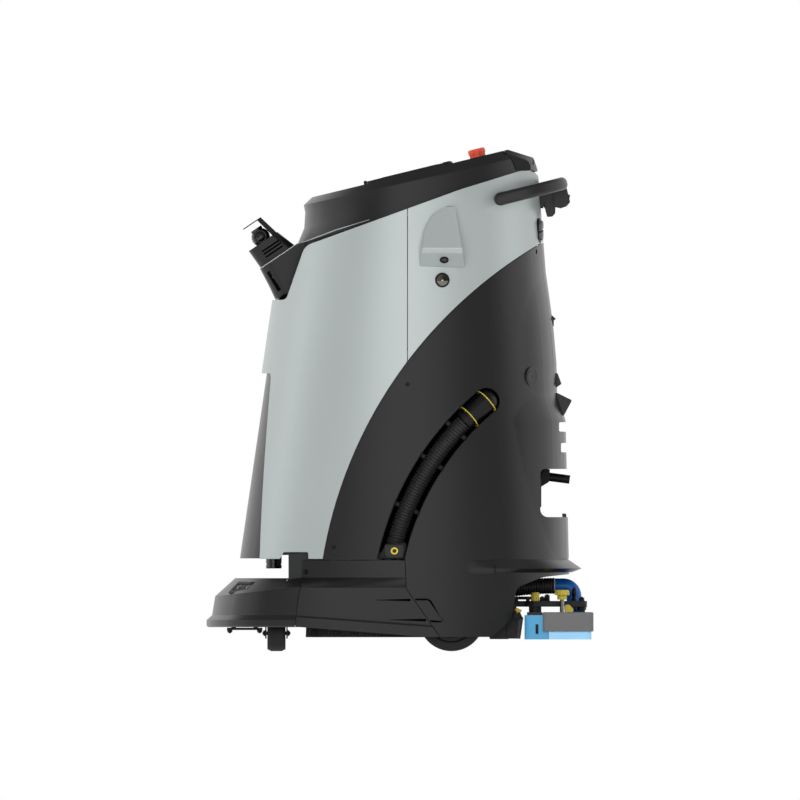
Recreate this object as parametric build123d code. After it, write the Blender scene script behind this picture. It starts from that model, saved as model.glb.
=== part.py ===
"""Robotic floor scrubber, built as separate solids in one frame: +X forward, +Y left, +Z up, mm."""
import os
from math import acos, copysign, cos, hypot, pi, radians, sin, sqrt

from build123d import *

# Body hull: a squircle in plan, drafted all round from the sill to the top
HULL_CENTRE = -10.0
HULL_CORNERS = (200.0, 180.0)
TIP_ANGLE = radians(25)
FLANK_ANGLE = radians(68)
HULL_LOW = 28.0
HULL_HIGH = 1064.0
WALL = 4.0
SEAM = 1.4
SILL_Z = 190.0
LIP_Z = 721.0
FRONT_AT_LIP = 267.2
FRONT_DRAFT = 0.1455
REAR_AT_SILL = 350.0
REAR_DRAFT = 0.078
HALF_AT_SILL = 276.0
SIDE_DRAFT = 0.034
FAR = 450.0

# Cover split lines
SHELL_FOOT_Z = 192.0
SHELL_SEAM_X = -15.6
COVER_ARC = ((-296.4, 850.1), (-55.7, 651.9), (160.6, 189.7))
COVER_FOOT_Z = 29.5
REAR_PANEL_HALF = 60.0
PANEL_INSET = 11.0
PANEL_TOP_Z = 578.0
PANEL_FOOT_Z = 193.0
POST_NOTCH = (191.0, 242.0, 206.0)

# Rear recess and louvres
RECESS = (-292.0, 279.0, 379.0)
LOUVRES = ((-331.0, 453.0, 480.0), (-335.0, 410.0, 437.0))
TAIL_REACH = 25.0
REAR_LINE = ((185.0, -351.5), (480.0, -344.5), (536.0, -327.0), (600.0, -325.5), (675.0, -319.0),
             (738.0, -310.5), (800.0, -301.5))
FLARE_INSET = 8.0
DOCK_PAD = 60.0
DOCK_PAD_Y = 75.0
DOCK_PAD_Z = 330.0

# Top deck, console and hatch
DECK_SLOPE = 0.2432
DECK_FRONT = (182.0, 944.5)
DECK_HALF = 248.5
DECK_REAR = -297.0
DECK_INSET = 7.0
DECK_BEVEL = 15.0
CONSOLE_SEAM = ((-198.0, 1060.0), (-230.0, 1026.0), (-243.0, 997.0), (-243.0, 700.0))
HATCH_LENGTH = 182.0
HATCH_WIDTH = 236.0
HATCH_RISE = 5.0
HATCH_X = -21.5
HINGE_RADIUS = 3.5
PIN_RADIUS = 2.0
MOUTH_LENGTH = 150.0
MOUTH_WIDTH = 200.0
DISPLAY_TALL = 46.0
DISPLAY_WIDE = 168.0
DISPLAY_CENTRE = (-254.5, 0.0, 1018.5)
ESTOP_X = -162.0
ESTOP_RADIUS = 18.0
ESTOP_STEM = 16.5
ESTOP_DEPTH = 16.0
ESTOP_LIFT = 6.5
ESTOP_HEAD = 10.5
BUTTON_TALL = 41.0
BUTTON_WIDE = 18.0
BUTTON_HEIGHT = 16.0
BUTTON_GAP = 1.6

# Turret, in its own tilted frame
TURRET_ORIGIN = (255.9, 0.0, 819.9)
TURRET_TILT = 34.0
TURRET_BASE_HALF = 88.0
TURRET_HEAD_HALF = 46.0
DOME_RADIUS = 19.5

# Push handle
HANDLE_ORIGIN = (-207.0, 0.0, 940.0)
HANDLE_TILT = 14.0
HANDLE_HALF = 240.0
HANDLE_REACH = 145.0
HANDLE_THICK = 24.0
HANDLE_TALL = 27.0

# Base: bumper and skirts
BASE_CENTRE = 120.0
BASE_CORNER = 130.0
BASE_FRONT = 391.0
BASE_HALF = 284.0
BASE_FLANK = 3400.0
BASE_BACK_X = -200.0
LIP_FRONT = 402.5
BUMPER_TOP_Z = 152.0

# Chassis
PLATE_Z = 170.0
PLATE_THICK = 6.0
FRONT_PLATE_Z = 96.0
SHELF_Z = 560.0
TANK_TOP_Z = 812.0
TANK_WALL = 5.0
NECK_LENGTH = 230.0
TOP_RING_Z = 820.0
LOW_RING_Z = 200.0
RING_WIDTH = 25.0
POST = 20.0
FIT = 0.15
UPRIGHT = (Align.CENTER, Align.CENTER, Align.MIN)

# Drive wheels and casters
WHEEL_X = -107.0
WHEEL_RADIUS = 69.0
WHEEL_WIDTH = 42.0
WHEEL_Y = 226.0
HUB_RADIUS = 48.0
AXLE_RADIUS = 10.0
RUNNING_FIT = 0.05
CASTER_X = 257.0
CASTER_Y = 190.0
CASTER_RADIUS = 37.5
CASTER_WIDTH = 38.0
CASTER_TRAIL = 25.0
CASTER_AXLE = 4.0
SWIVEL_RADIUS = 6.0

# Brush deck
BRUSH_X = 70.0
BRUSH_Y = 128.0
BRUSH_RADIUS = 127.0
BRUSH_FLOOR_Z = 29.0
BRUSH_BACK_Z = 62.0
BRUSH_RINGS = ((122.0, 84), (104.0, 48), (84.0, 36), (64.0, 28), (44.0, 20))
STRAND = 5.0
DECK_Z = 80.0
SPINDLE_RADIUS = 8.0
MOTOR_RADIUS = 42.0
GUIDE_RADIUS = 6.0
BRUSH_GUIDE = 84.0

# Squeegee
SQUEEGEE_HALF = 296.0
HOOD = (-402.5, -296.0, 41.0, 81.3)
BLADE_FOOT_Z = 24.5
BLADE_THICK = 4.0
FRONT_BLADE_X = -259.0
CARRIER_Z = 92.4
CARRIER_THICK = 12.2
ELBOW_X = -362.0
ELBOW_RADIUS = 15.5
HOSE_RADIUS = 17.0
LIFT_GUIDE = (-222.0, 42.0)
CLAMP_NUT = (-281.0, 95.0)
PITCH_KNOB = (-337.0, 138.0)

# Drain hose slot on the left side
SLOT_ARC = ((-179.9, 520.4), (-49.9, 367.7), (19.1, 191.4))
SLOT_WIDTH = 57.0
SLOT_FLOOR_Y = 200.0
DRAIN_Y = 224.0
DRAIN_RADIUS = 19.0
DRAIN_PITCH = 6.4
RIB_DEPTH = 2.6


def poly(*points):
    """Closed face through the points."""
    return Polygon(*points, align=None)


def rounded(radius, *points):
    """Closed face through the points with its corners rounded."""
    return make_face(FilletPolyline(*points, radius=radius, close=True))


def side_slab(face, y_low, y_high):
    """Side-view face (X, Z) run from y_low to y_high."""
    return extrude(Plane.XZ.offset(-y_high) * face, y_high - y_low, dir=(0, -1, 0))


def front_slab(face, x_low, x_high):
    """Front-view face (Y, Z) run from x_low to x_high."""
    return extrude(Plane.YZ.offset(x_low) * face, x_high - x_low, dir=(1, 0, 0))


def plan_slab(face, z_low, z_high):
    """Plan-view face run from z_low to z_high."""
    return extrude(Plane.XY.offset(z_low) * face, z_high - z_low, dir=(0, 0, 1))


def block(x_low, x_high, y_low, y_high, z_low, z_high):
    """Box between two corners."""
    centre = Pos((x_low + x_high) / 2, (y_low + y_high) / 2, (z_low + z_high) / 2)
    return centre * Box(x_high - x_low, y_high - y_low, z_high - z_low)


def rod(radius, start, end):
    """Round bar between two points."""
    axis = Vector(end) - Vector(start)
    return extrude(Plane(origin=start, z_dir=axis) * Circle(radius), axis.length)


def other_side(shape):
    """The same shape on the robot's right."""
    return mirror(shape, about=Plane.XZ)


def pair(shape):
    """The shape and its mirror image as two solids of one node."""
    return Compound(children=[shape, other_side(shape)])


def arc_radii(reach, half, corner):
    """Tip and flank radii that, with the corner radius, join into a quarter outline."""
    along = reach - corner * (cos(TIP_ANGLE) - cos(FLANK_ANGLE))
    across = half - corner * (sin(FLANK_ANGLE) - sin(TIP_ANGLE))
    scale = (1 - cos(TIP_ANGLE)) * (1 - sin(FLANK_ANGLE)) - cos(FLANK_ANGLE) * sin(TIP_ANGLE)
    tip = (along * (1 - sin(FLANK_ANGLE)) - cos(FLANK_ANGLE) * across) / scale
    flank = ((1 - cos(TIP_ANGLE)) * across - sin(TIP_ANGLE) * along) / scale
    return tip, flank


def quarter_arcs(reach, half, corner):
    """Radius and end angle of the tip, corner and flank arcs."""
    tip, flank = arc_radii(reach, half, corner)
    return (tip, TIP_ANGLE), (corner, FLANK_ANGLE), (flank, pi / 2)


def quarter(reach, half, corner, inset):
    """Points of a quarter outline from its tip to its flank: ends and middles of three arcs."""
    x, y, turn = reach - inset, 0.0, 0.0
    points = [(x, y)]
    for radius, end in quarter_arcs(reach, half, corner):
        size = radius - inset
        for angle in ((turn + end) / 2, end):
            points.append((x - size * (cos(turn) - cos(angle)), y + size * (sin(angle) - sin(turn))))
        x, y = points[-1]
        turn = end
    return points


def arc_face(points, plane, shut=True):
    """Face bounded by arcs through every second point of one half outline and its mirror image."""
    back = [(x, -y) for x, y in reversed(points)]
    edges = []
    for chain in (points, back):
        edges += [ThreePointArc(*chain[i:i + 3]) for i in range(0, len(chain) - 2, 2)]
        if not shut and chain is points:
            edges.append(Line(points[-1], back[0]))
    return plane * make_face(edges)


def outline(front, rear, half, centre, corners, inset=0.0, plane=Plane.XY):
    """Smooth closed plan outline of tangent arcs, drawn in by inset."""
    ahead = [(centre + x, y) for x, y in quarter(front - centre, half, corners[0], inset)]
    behind = [(centre - x, y) for x, y in quarter(centre - rear, half, corners[1], inset)]
    return arc_face(ahead + behind[-2::-1], plane)


def hull_front(z):
    """Foremost X of the hull at height z."""
    return FRONT_AT_LIP + (LIP_Z - z) * FRONT_DRAFT


def hull_rear(z):
    """Rearmost X of the hull at height z."""
    return -REAR_AT_SILL + (z - SILL_Z) * REAR_DRAFT


def hull_half(z):
    """Half width of the hull at height z."""
    return HALF_AT_SILL - (z - SILL_Z) * SIDE_DRAFT


def hull_outline(z, inset=0.0, tail=0.0):
    """Hull outline at height z, drawn in by inset and out at the rear by tail."""
    return outline(hull_front(z), hull_rear(z) - tail, hull_half(z), HULL_CENTRE, HULL_CORNERS, inset,
                   Plane.XY.offset(z))


def hull(inset=0.0):
    """Whole drafted hull as one solid, drawn in by inset."""
    over = 1 if inset else 0
    return loft([hull_outline(HULL_LOW - over, inset), hull_outline(HULL_HIGH + over, inset)], ruled=True)


def hull_place(x, z):
    """Y of the hull's left surface at x, z and its outward normal in plan."""
    ahead = x > HULL_CENTRE
    reach = hull_front(z) - HULL_CENTRE if ahead else HULL_CENTRE - hull_rear(z)
    gone, y, turn = reach - abs(x - HULL_CENTRE), 0.0, 0.0
    for radius, end in quarter_arcs(reach, hull_half(z), HULL_CORNERS[0 if ahead else 1]):
        depth = radius * (cos(turn) - cos(end))
        if gone <= depth:
            break
        gone, y, turn = gone - depth, y + radius * (sin(end) - sin(turn)), end
    angle = acos(cos(turn) - gone / radius)
    return y + radius * (sin(angle) - sin(turn)), (cos(angle) if ahead else -cos(angle), sin(angle))


def hull_y(x, z):
    """Half width of the hull's surface at x, z."""
    return hull_place(x, z)[0]


def hull_plane(x, z):
    """Plane on the hull's left surface: normal out, y axis up."""
    y, normal = hull_place(x, z)
    return Plane(origin=(x, y, z), x_dir=(-normal[1], normal[0], 0), z_dir=(normal[0], normal[1], 0))


def tilted(front, slope):
    """Plane through the point front (X, Z) that rises towards the rear."""
    return Plane(origin=(0, 0, front[1] + front[0] * slope), x_dir=(1, 0, -slope), z_dir=(slope, 0, 1))


HULL = hull()
HULL_INSIDE = hull(WALL)
HULL_FIT = hull(WALL + FIT)
SKIN = HULL - HULL_INSIDE


def cover_disc(grow):
    """Round region that holds the dark side covers."""
    arc = ThreePointArc(*COVER_ARC)
    disc = Pos(arc.arc_center.X, arc.arc_center.Y) * Circle(arc.radius + grow)
    return side_slab(disc, -FAR, FAR)


def top_cut():
    """Everything above the grey shells' top edge."""
    points = [(FAR, 727), (237, 731), (198, 843), (-124, 960), (-250, 999), (-276, 1001), (-FAR, 815),
              (-FAR, 1300), (FAR, 1300)]
    edge = FilletPolyline(*points, radius=[1, 12, 30, 200, 40, 8, 1, 1, 1], close=True)
    return side_slab(make_face(edge), -FAR, FAR)


def cover_outline():
    """Side view of a dark cover: sill, skirt seam, floor edge and rear arch."""
    points = [(FAR, SILL_Z), (-11.4, SILL_Z), (-13.5, 130), (-84, COVER_FOOT_Z), (-190, COVER_FOOT_Z),
              (-232, 65), (-242, 132), (-297, 154), (-FAR, 171), (-FAR, 1000), (FAR, 1000)]
    radii = [1, 2, 6, 2, 2, 8, 22, 60, 1, 1, 1]
    return make_face(FilletPolyline(*points, radius=radii, close=True))


def front_opening(grow):
    """Front-view opening of the dark front panel."""
    foot = hull_y(292, PANEL_FOOT_Z) + grow
    top = hull_y(269.4, 567) + grow
    face = poly((-foot, 100), (-foot, PANEL_FOOT_Z), (-top, PANEL_TOP_Z + grow), (top, PANEL_TOP_Z + grow),
                (foot, PANEL_FOOT_Z), (foot, 100))
    corners = face.vertices().group_by(Axis.Y)[-1]
    return front_slab(fillet(corners, 16), 150, FAR)


def sensor_plane():
    """Left range sensor's place on the hull."""
    return hull_plane(-88, 772)


def front_shell():
    """Grey front shell with the panel opening and the post notches."""
    shell = SKIN & block(SHELL_SEAM_X + SEAM / 2, FAR, -FAR, FAR, SHELL_FOOT_Z, 1100)
    shell = shell - cover_disc(SEAM / 2) - top_cut() - front_opening(0)
    low, high, top = POST_NOTCH
    notch = rounded(3, (low - 3, 100), (low, top), (high, top), (high + 8, SHELL_FOOT_Z), (high + 8, 100))
    return shell - side_slab(notch, -FAR, FAR)


def rear_shell():
    """Grey rear shell with holes for the range sensors and the button bezel."""
    shell = SKIN & block(-FAR, SHELL_SEAM_X - SEAM / 2, -FAR, FAR, 500, 1100)
    shell = shell - cover_disc(SEAM / 2) - top_cut()
    hole = extrude(sensor_plane() * Circle(15), 20, both=True)
    bezel = extrude(bezel_plane() * SlotOverall(46, 22, rotation=90), 20, both=True)
    return shell - hole - other_side(hole) - bezel


def bezel_plane():
    """Place of the button pair on the rear left of the hull."""
    return hull_plane(-289, 875)


def button_face(side, grow):
    """Upper or lower half of the button oval, split by a slanted gap, widened by grow."""
    half = Rot(0, 0, 20) * Pos(0, side * (BUTTON_GAP - grow + 40)) * Rectangle(100, 80)
    return SlotOverall(BUTTON_TALL + 2 * grow, BUTTON_WIDE + 2 * grow, rotation=90) & half


def button_bezel():
    """Oval frame round two push buttons, with a box behind it."""
    plane = bezel_plane()
    frame = extrude(plane * SlotOverall(52, 28, rotation=90), 2.5, both=True) - HULL
    box = extrude(plane * SlotOverall(45.4, 21.4, rotation=90), -14)
    frame = frame + box + extrude(plane * SlotOverall(45.4, 21.4, rotation=90), 1.5)
    for side in (-1, 1):
        frame -= plane.location * Pos(0, 0, -10) * extrude(button_face(side, 0.3), 40)
    return frame


def push_button(side):
    """One of the two rear buttons."""
    cap = extrude(button_face(side, 0), BUTTON_HEIGHT)
    cap = chamfer(cap.edges().group_by(Axis.Z)[-1], 1)
    return bezel_plane().location * Pos(0, 0, -8) * cap


def tail_ring():
    """Flared rim round the rear foot of the body."""
    levels = [hull_outline(191, -0.4), hull_outline(172, -1.5, TAIL_REACH), hull_outline(164, -1.5, 4)]
    return (loft(levels, ruled=True) - HULL_INSIDE) & block(-FAR, -196, -FAR, FAR, 160, 195)


def rear_module():
    """Rear of the covers from foot to shoulder: an upright module that swells out of the drafted hull."""
    levels = []
    for z, rear in REAR_LINE:
        levels.append(outline(hull_front(z) - FLARE_INSET, rear, hull_half(z) - FLARE_INSET, HULL_CENTRE,
                              HULL_CORNERS, 0, Plane.XY.offset(z)))
    return (loft(levels, ruled=True) - HULL_INSIDE) & block(-FAR, -200, -FAR, FAR, 193, 800)


REAR_MODULE = rear_module()


def cut_louvres(cover):
    """Cut the two air louvres across the rear of a cover."""
    for x, low, high in LOUVRES:
        groove = rounded(3, (-FAR, low), (x, low + 4), (x, high - 4), (-FAR, high))
        cover -= side_slab(groove, -FAR, FAR)
    return cover


def rear_recess(grow):
    """Channel across the rear that the docking station reaches into."""
    x, low, high = RECESS
    back, foot, top = x + grow, low - grow, high + grow
    edge = FilletPolyline((-FAR, foot), (back, foot), (back, top), (-FAR, top),
                          radius=[1, 16 + grow, 9 + grow, 1], close=True)
    return side_slab(make_face(edge), -FAR, FAR)


def dock_pad(side):
    """Raised contact pad in the recess, beside the hook."""
    low, high = DOCK_PAD_Z - DOCK_PAD / 2, DOCK_PAD_Z + DOCK_PAD / 2
    near, far = sorted((side * (DOCK_PAD_Y - DOCK_PAD / 2), side * (DOCK_PAD_Y + DOCK_PAD / 2)))
    return block(RECESS[0] - 2, RECESS[0] + 1, near, far, low, high)


def rear_panel():
    """Dark rear panel: middle of the rear module with louvres, recess liner, dock pads, lug and hooks."""
    edge = REAR_PANEL_HALF - SEAM / 2
    zone = block(-FAR, -200, -edge, edge, 100, 1000)
    cover = side_slab(cover_outline(), -FAR, FAR)
    panel = (SKIN & zone & cover_disc(-SEAM / 2) & cover) + (tail_ring() & zone)
    panel = cut_louvres(panel + (REAR_MODULE & zone)) - rear_recess(0)
    liner = (rear_recess(3) - rear_recess(0)) & block(-FAR, -200, -FAR, FAR, 0, 1000)
    panel += liner & zone & HULL
    panel += (liner & HULL_FIT).fuse(dock_pad(-1), dock_pad(1))
    lug = rounded(3, (-318, 540), (-330, 536), (-358, 522), (-341, 490), (-318, 490))
    hook = rounded(1.5, (-305, 708), (-325, 691), (-320, 688), (-320, 676), (-305, 676))
    fin = rounded(1.5, (-315, 580), (-328, 578), (-336, 556), (-325, 548), (-315, 548))
    peg = rounded(1.5, (-333, 277), (-333, 287), (-346, 286), (-346, 277))
    for face, half in ((lug, 36), (hook, 14), (fin, 30), (peg, 30)):
        panel += side_slab(face, -half, half) - HULL_INSIDE
    return panel


def rear_hook():
    """Round hook bar held in the rear recess by a wedge foot."""
    foot = side_slab(poly((-292, 368), (-302, 378), (-312, 378), (-310, 352), (-292, 341)), -14, 14)
    return foot + rod(9, (-300, 0, 364), (-353, 0, 357))


def slot_face(width):
    """Side-view face of the hose slot at a given width."""
    return SlotArc(ThreePointArc(*SLOT_ARC), width)


def side_cover():
    """Dark side cover, left hand, without the hose slot."""
    region = side_slab(cover_outline(), 0, FAR)
    cover = (SKIN & cover_disc(-SEAM / 2) & region) + (tail_ring() & region)
    cover = cut_louvres(cover + (REAR_MODULE & block(-FAR, 0, 0, FAR, 0, 1000)))
    cover -= block(-FAR, -150, -FAR, REAR_PANEL_HALF + SEAM / 2, 0, 1000)
    cover -= rear_recess(0)
    panel = rounded(4, (-28, 111), (-62, 111), (-90, 60), (-56, 60))
    cover -= side_slab(panel, 200, FAR) - hull(2.5)
    cap = hull_plane(-273.5, 571)
    return cover + (extrude(cap * Circle(21), 2.2, both=True) - HULL_INSIDE)


def left_side_cover():
    """Left cover with the moulded trough of the drain hose."""
    shut = side_slab(slot_face(SLOT_WIDTH), SLOT_FLOOR_Y, FAR)
    trough = side_slab(slot_face(SLOT_WIDTH + 8), SLOT_FLOOR_Y - 4, FAR) & hull(1.0)
    trough &= block(-FAR, FAR, 0, FAR, SILL_Z + 1, 1000)
    return (side_cover() - shut) + (trough - shut)


def right_side_cover():
    """Right cover, plain."""
    return other_side(side_cover())


def front_panel():
    """Recessed dark front panel with a frame behind the grey edge."""
    deep = hull(PANEL_INSET + WALL)
    limit = block(150, FAR, -FAR, FAR, PANEL_FOOT_Z, PANEL_TOP_Z + 9)
    sheet = (hull(PANEL_INSET) - deep) & front_opening(8)
    frame = (HULL_FIT - deep) & (front_opening(8) - front_opening(0))
    return (sheet + frame) & limit


def deck_loft(inset=0.0):
    """Top deck from its foot to its bevelled top, drawn in by inset."""
    levels = [(213, 846 - (12 if inset else 0), 0.305, 0), (199, 880, 0.27, 0), (197, 912, 0.235, 0),
              (200, 928, 0.2213, 0), (*DECK_FRONT, DECK_SLOPE, DECK_BEVEL)]
    faces = []
    for front, z, slope, bevel in levels:
        stretch = hypot(1, slope)
        ahead = (front + bevel + DECK_INSET) * stretch
        faces.append(outline(ahead, DECK_REAR * stretch, DECK_HALF, HULL_CENTRE, HULL_CORNERS,
                             inset + bevel + DECK_INSET, tilted((front, z - inset), slope)))
    return loft(faces, ruled=True)


def console_profile():
    """Side view of the rear console's rounded back."""
    points = [(-100, 800), (-100, 1100), (-223.5, 1043.5), (-279, 1026), (-290, 986), (-290, 800)]
    edge = FilletPolyline(*points, radius=[1, 1, 8, 9, 30, 1], close=True)
    return side_slab(make_face(edge), -FAR, FAR)


def shell_room():
    """Room of the grey rear shell's wall, below its top edge."""
    return block(-FAR, 0, -FAR, FAR, 700, 1010) - top_cut() - HULL_FIT


def console_room(gap):
    """Everything behind the slanted seam between deck and console."""
    seam = [(x - gap, z) for x, z in CONSOLE_SEAM]
    return side_slab(poly(*seam, (-FAR, CONSOLE_SEAM[-1][1]), (-FAR, CONSOLE_SEAM[0][1])), -FAR, FAR)


def deck_plane(x):
    """Plane on the deck's sloping top at x, its x axis running up towards the rear."""
    z = DECK_FRONT[1] + (DECK_FRONT[0] - x) * DECK_SLOPE
    return Plane(origin=(x, 0, z), x_dir=(-1, 0, DECK_SLOPE), z_dir=(DECK_SLOPE, 0, 1))


def hinge_lugs(grow):
    """Spans across the deck of the hinge lugs: (low, high) pairs."""
    return [(side * 80 - 9 - grow, side * 80 + 9 + grow) for side in (-1, 1)]


def hatch_frame():
    """Location of the hatch: origin on the deck top under the hatch's middle."""
    return deck_plane(HATCH_X).location


def hatch_barrel(radius, low, high):
    """Bar along the hinge line at the front edge of the hatch, in the hatch's frame."""
    x = -HATCH_LENGTH / 2 - HINGE_RADIUS - 1
    return rod(radius, (x, low, HINGE_RADIUS + 0.5), (x, high, HINGE_RADIUS + 0.5))


def top_deck():
    """Black wedge deck with the tank mouth, hinge lugs and e-stop bore."""
    deck = deck_loft() - deck_loft(WALL)
    deck = deck - console_room(-SEAM / 2) - shell_room()
    frame = hatch_frame()
    deck -= frame * extrude(RectangleRounded(MOUTH_LENGTH, MOUTH_WIDTH, 14), 20, both=True)
    for low, high in hinge_lugs(0):
        lug = block(-HATCH_LENGTH / 2 - 8, -HATCH_LENGTH / 2 - 1, low, high, -2, HINGE_RADIUS + 0.5)
        lug += hatch_barrel(HINGE_RADIUS, low, high)
        deck += frame * (lug - hatch_barrel(PIN_RADIUS + RUNNING_FIT, low - 1, high + 1))
    return deck - deck_plane(ESTOP_X).location * Cylinder(ESTOP_STEM + RUNNING_FIT, 40)


def tank_hatch():
    """Hinged lid over the recovery tank, with bevelled rim and hinge pins."""
    plate = RectangleRounded(HATCH_LENGTH, HATCH_WIDTH, 18)
    lid = extrude(plate, HATCH_RISE)
    lid = chamfer(lid.edges().group_by(Axis.Z)[-1], 3)
    lid -= Pos(0, 0, -1) * extrude(RectangleRounded(MOUTH_LENGTH + 4, MOUTH_WIDTH + 4, 16), 2.5)
    lid += extrude(RectangleRounded(MOUTH_LENGTH - 3, MOUTH_WIDTH - 3, 12), 4)
    x = -HATCH_LENGTH / 2
    for low, high in hinge_lugs(1.0):
        lid -= block(x - 20, x + 3.5, low, high, -5, 20)
        for start, end in ((low - 20, low), (high, high + 20)):
            lid += block(x - 4, x + 4, start, end, 0.6, HATCH_RISE)
            lid += hatch_barrel(HINGE_RADIUS, start, end)
        lid += hatch_barrel(PIN_RADIUS, low - 5, high + 5)
    return hatch_frame() * lid


def console():
    """Rear console with a slanted pocket for the display, its foot inside the grey shell."""
    room = console_room(SEAM / 2)
    body = (deck_loft() - deck_loft(WALL)) & room
    body = (body + (deck_loft() & room & block(-FAR, 0, -FAR, FAR, 985, 1200))) & console_profile()
    return body - shell_room() - display_pocket()


def display_frame():
    """Location of the display glass: x runs up the slant, z points out to the operator."""
    return Plane(origin=DISPLAY_CENTRE, x_dir=(0.72, 0, 0.694), z_dir=(-0.694, 0, 0.72)).location


def display_pocket():
    """Room for the display and the hands above it."""
    floor = extrude(RectangleRounded(DISPLAY_TALL + 1, DISPLAY_WIDE + 1, 4), 40)
    return display_frame() * floor


def display_screen():
    """Touch display glass on its backing, seated in the console."""
    glass = extrude(RectangleRounded(DISPLAY_TALL, DISPLAY_WIDE, 4), 5)
    return display_frame() * fillet(glass.edges().group_by(Axis.Z)[-1], 1)


def handle_frame():
    """Location of the handle: x runs to the rear and up along its arms."""
    tilt = radians(HANDLE_TILT)
    plane = Plane(origin=HANDLE_ORIGIN, x_dir=(-cos(tilt), 0, sin(tilt)), z_dir=(sin(tilt), 0, cos(tilt)))
    return plane.location


def push_handle():
    """U-shaped handle that wraps the back of the console."""
    inner = HANDLE_HALF - HANDLE_THICK
    outer_face = FilletPolyline((0, HANDLE_HALF), (HANDLE_REACH, HANDLE_HALF), (HANDLE_REACH, -HANDLE_HALF),
                                (0, -HANDLE_HALF), radius=[1, 100, 100, 1], close=True)
    reach = HANDLE_REACH - HANDLE_THICK
    inner_face = FilletPolyline((-20, inner), (reach, inner), (reach, -inner), (-20, -inner),
                                radius=[1, 76, 76, 1], close=True)
    bar = extrude(make_face(outer_face) - make_face(inner_face), HANDLE_TALL / 2, both=True)
    bar = fillet(bar.edges().filter_by(lambda edge: abs(edge.tangent_at(0.5).Z) < 0.1), 8)
    high, rear = HANDLE_TALL / 2 + 0.7, HANDLE_REACH + 0.5
    ends = rounded(high - 0.5, (-0.5, -high), (rear, -high), (rear, high), (-0.5, high))
    bar = bar & side_slab(ends, -FAR, FAR)
    handle = handle_frame() * bar
    for side in (-1, 1):
        handle += rod(11, (-224, side * (inner + 6), 944), (-224, side * (inner - 18), 944))
    return handle - HULL


def rear_camera():
    """Camera under the handle on a lobed bracket."""
    bracket = poly((-284, 960), (-284, 922), (-298, 921), (-300, 934), (-304, 930), (-322, 940), (-338, 970))
    leg = rounded(3, (-301, 946), (-324, 950), (-323, 911), (-317, 904), (-306, 903), (-302, 918))
    head = rounded(3, (-320, 970), (-345, 970), (-350, 951), (-354, 934), (-346, 925), (-334, 921), (-320, 924))
    camera = side_slab(bracket, -20, 20) + side_slab(leg, -20, 20) + side_slab(head, -34, 34)
    lens = Plane(origin=(-352, 0, 942), z_dir=(-1, 0, -0.2))
    for side in (-1, 1):
        camera -= extrude(lens * Pos(0, 14 * side) * Circle(6), 3, both=True)
    above = block(-FAR, 0, -FAR, FAR, 800, 1100) & handle_frame() * block(-FAR, FAR, -FAR, FAR, 0, FAR)
    return camera - HULL - push_handle() - above


def turret_frame():
    """Location of the turret: x runs forward and down along its rim, z along its axis."""
    tilt = radians(TURRET_TILT)
    plane = Plane(origin=TURRET_ORIGIN, x_dir=(cos(tilt), 0, -sin(tilt)), z_dir=(sin(tilt), 0, cos(tilt)))
    return plane.location


def turret_base():
    """Turret foot with rounded front corners on a cowl that lines the shell's notch."""
    profile = poly((43, 0), (48, -44), (53, -75), (40, -95), (-30, -60), (-60, -40), (-84, -24), (-84, -8),
                   (-50, 0))
    foot = side_slab(profile, -TURRET_BASE_HALF, TURRET_BASE_HALF)
    corners = foot.edges().filter_by(lambda edge: edge.center().X > 41 and abs(edge.tangent_at(0.5).Y) < 0.1)
    foot = fillet(corners, 30)
    for side in (-1, 1):
        slot = Pos(30, side * 80, -38) * Rot(0, 0, side * 40) * Box(30, 9, 46)
        foot -= slot & Pos(30, side * 84, -38) * Box(40, 24, 60)
    foot = turret_frame() * foot
    cowl = poly((FAR, 722), (234, 724), (196, 832), (180, 854), (175, 852), (192, 828), (231, 720),
                (FAR, 718))
    foot += side_slab(cowl, -FAR, FAR) & HULL_FIT
    return foot - (block(100, FAR, -FAR, FAR, 600, 734) - HULL_FIT) - deck_loft()


def turret_head():
    """Sensor head with rounded corners and vent slots on both sides."""
    profile = poly((41, 0.4), (42, 43), (-30, 43), (-44, 0.4))
    head = side_slab(profile, -TURRET_HEAD_HALF, TURRET_HEAD_HALF)
    upright = head.edges().filter_by(lambda edge: abs(edge.tangent_at(0.5).Y) < 0.1 and
                                     abs(edge.tangent_at(0.5).Z) > 0.5)
    head = fillet(upright.filter_by(lambda edge: edge.center().X > 0), 26)
    upright = head.edges().filter_by(lambda edge: edge.center().X < -34 and abs(edge.tangent_at(0.5).Z) > 0.5)
    head = fillet(upright, 16)
    for level in (12.6, 20, 26.5):
        for side in (-1, 1):
            head -= Pos(-2, side * TURRET_HEAD_HALF, level) * Box(43, 10, 3.2)
    return turret_frame() * head


def turret_lidar():
    """Domed scanner with a flat cap on the head."""
    dome = (Pos(5, 0, 53) * Sphere(DOME_RADIUS)) & block(-60, 60, -60, 60, 43, 68.5)
    dome += Pos(3.5, 0, 70.5) * fillet(Cylinder(13, 6).edges(), 1)
    return turret_frame() * dome


def turret_visor():
    """Thin roof over the dome on a sloping back plate."""
    back = side_slab(poly((-28, 43), (-17, 43), (-8, 88), (-18, 88)), -27, 27)
    roof = extrude(Pos(4, 0) * RectangleRounded(44, 54, 9), 2.2)
    return turret_frame() * (back + Pos(0, 0, 85.8) * roof)


def fairing():
    """Left side-camera fairing: a wedge that swells out over a downward face."""
    shape = rounded(9, (-40, 796), (-52, 878), (-66, 906), (-100, 928), (-114, 928), (-136, 796))
    swell = rounded(5, (230, 930), (250, 924), (287, 838), (283, 828), (252, 799), (230, 799))
    return (side_slab(shape, 200, 320) & front_slab(swell, -200, 0)) - HULL - camera_barrel(7)


def camera_barrel(radius):
    """Bar along the side camera's sight line, from inside the fairing to its face."""
    return rod(radius, (-92, 250, 832), (-92, 268, 811.5))


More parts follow.
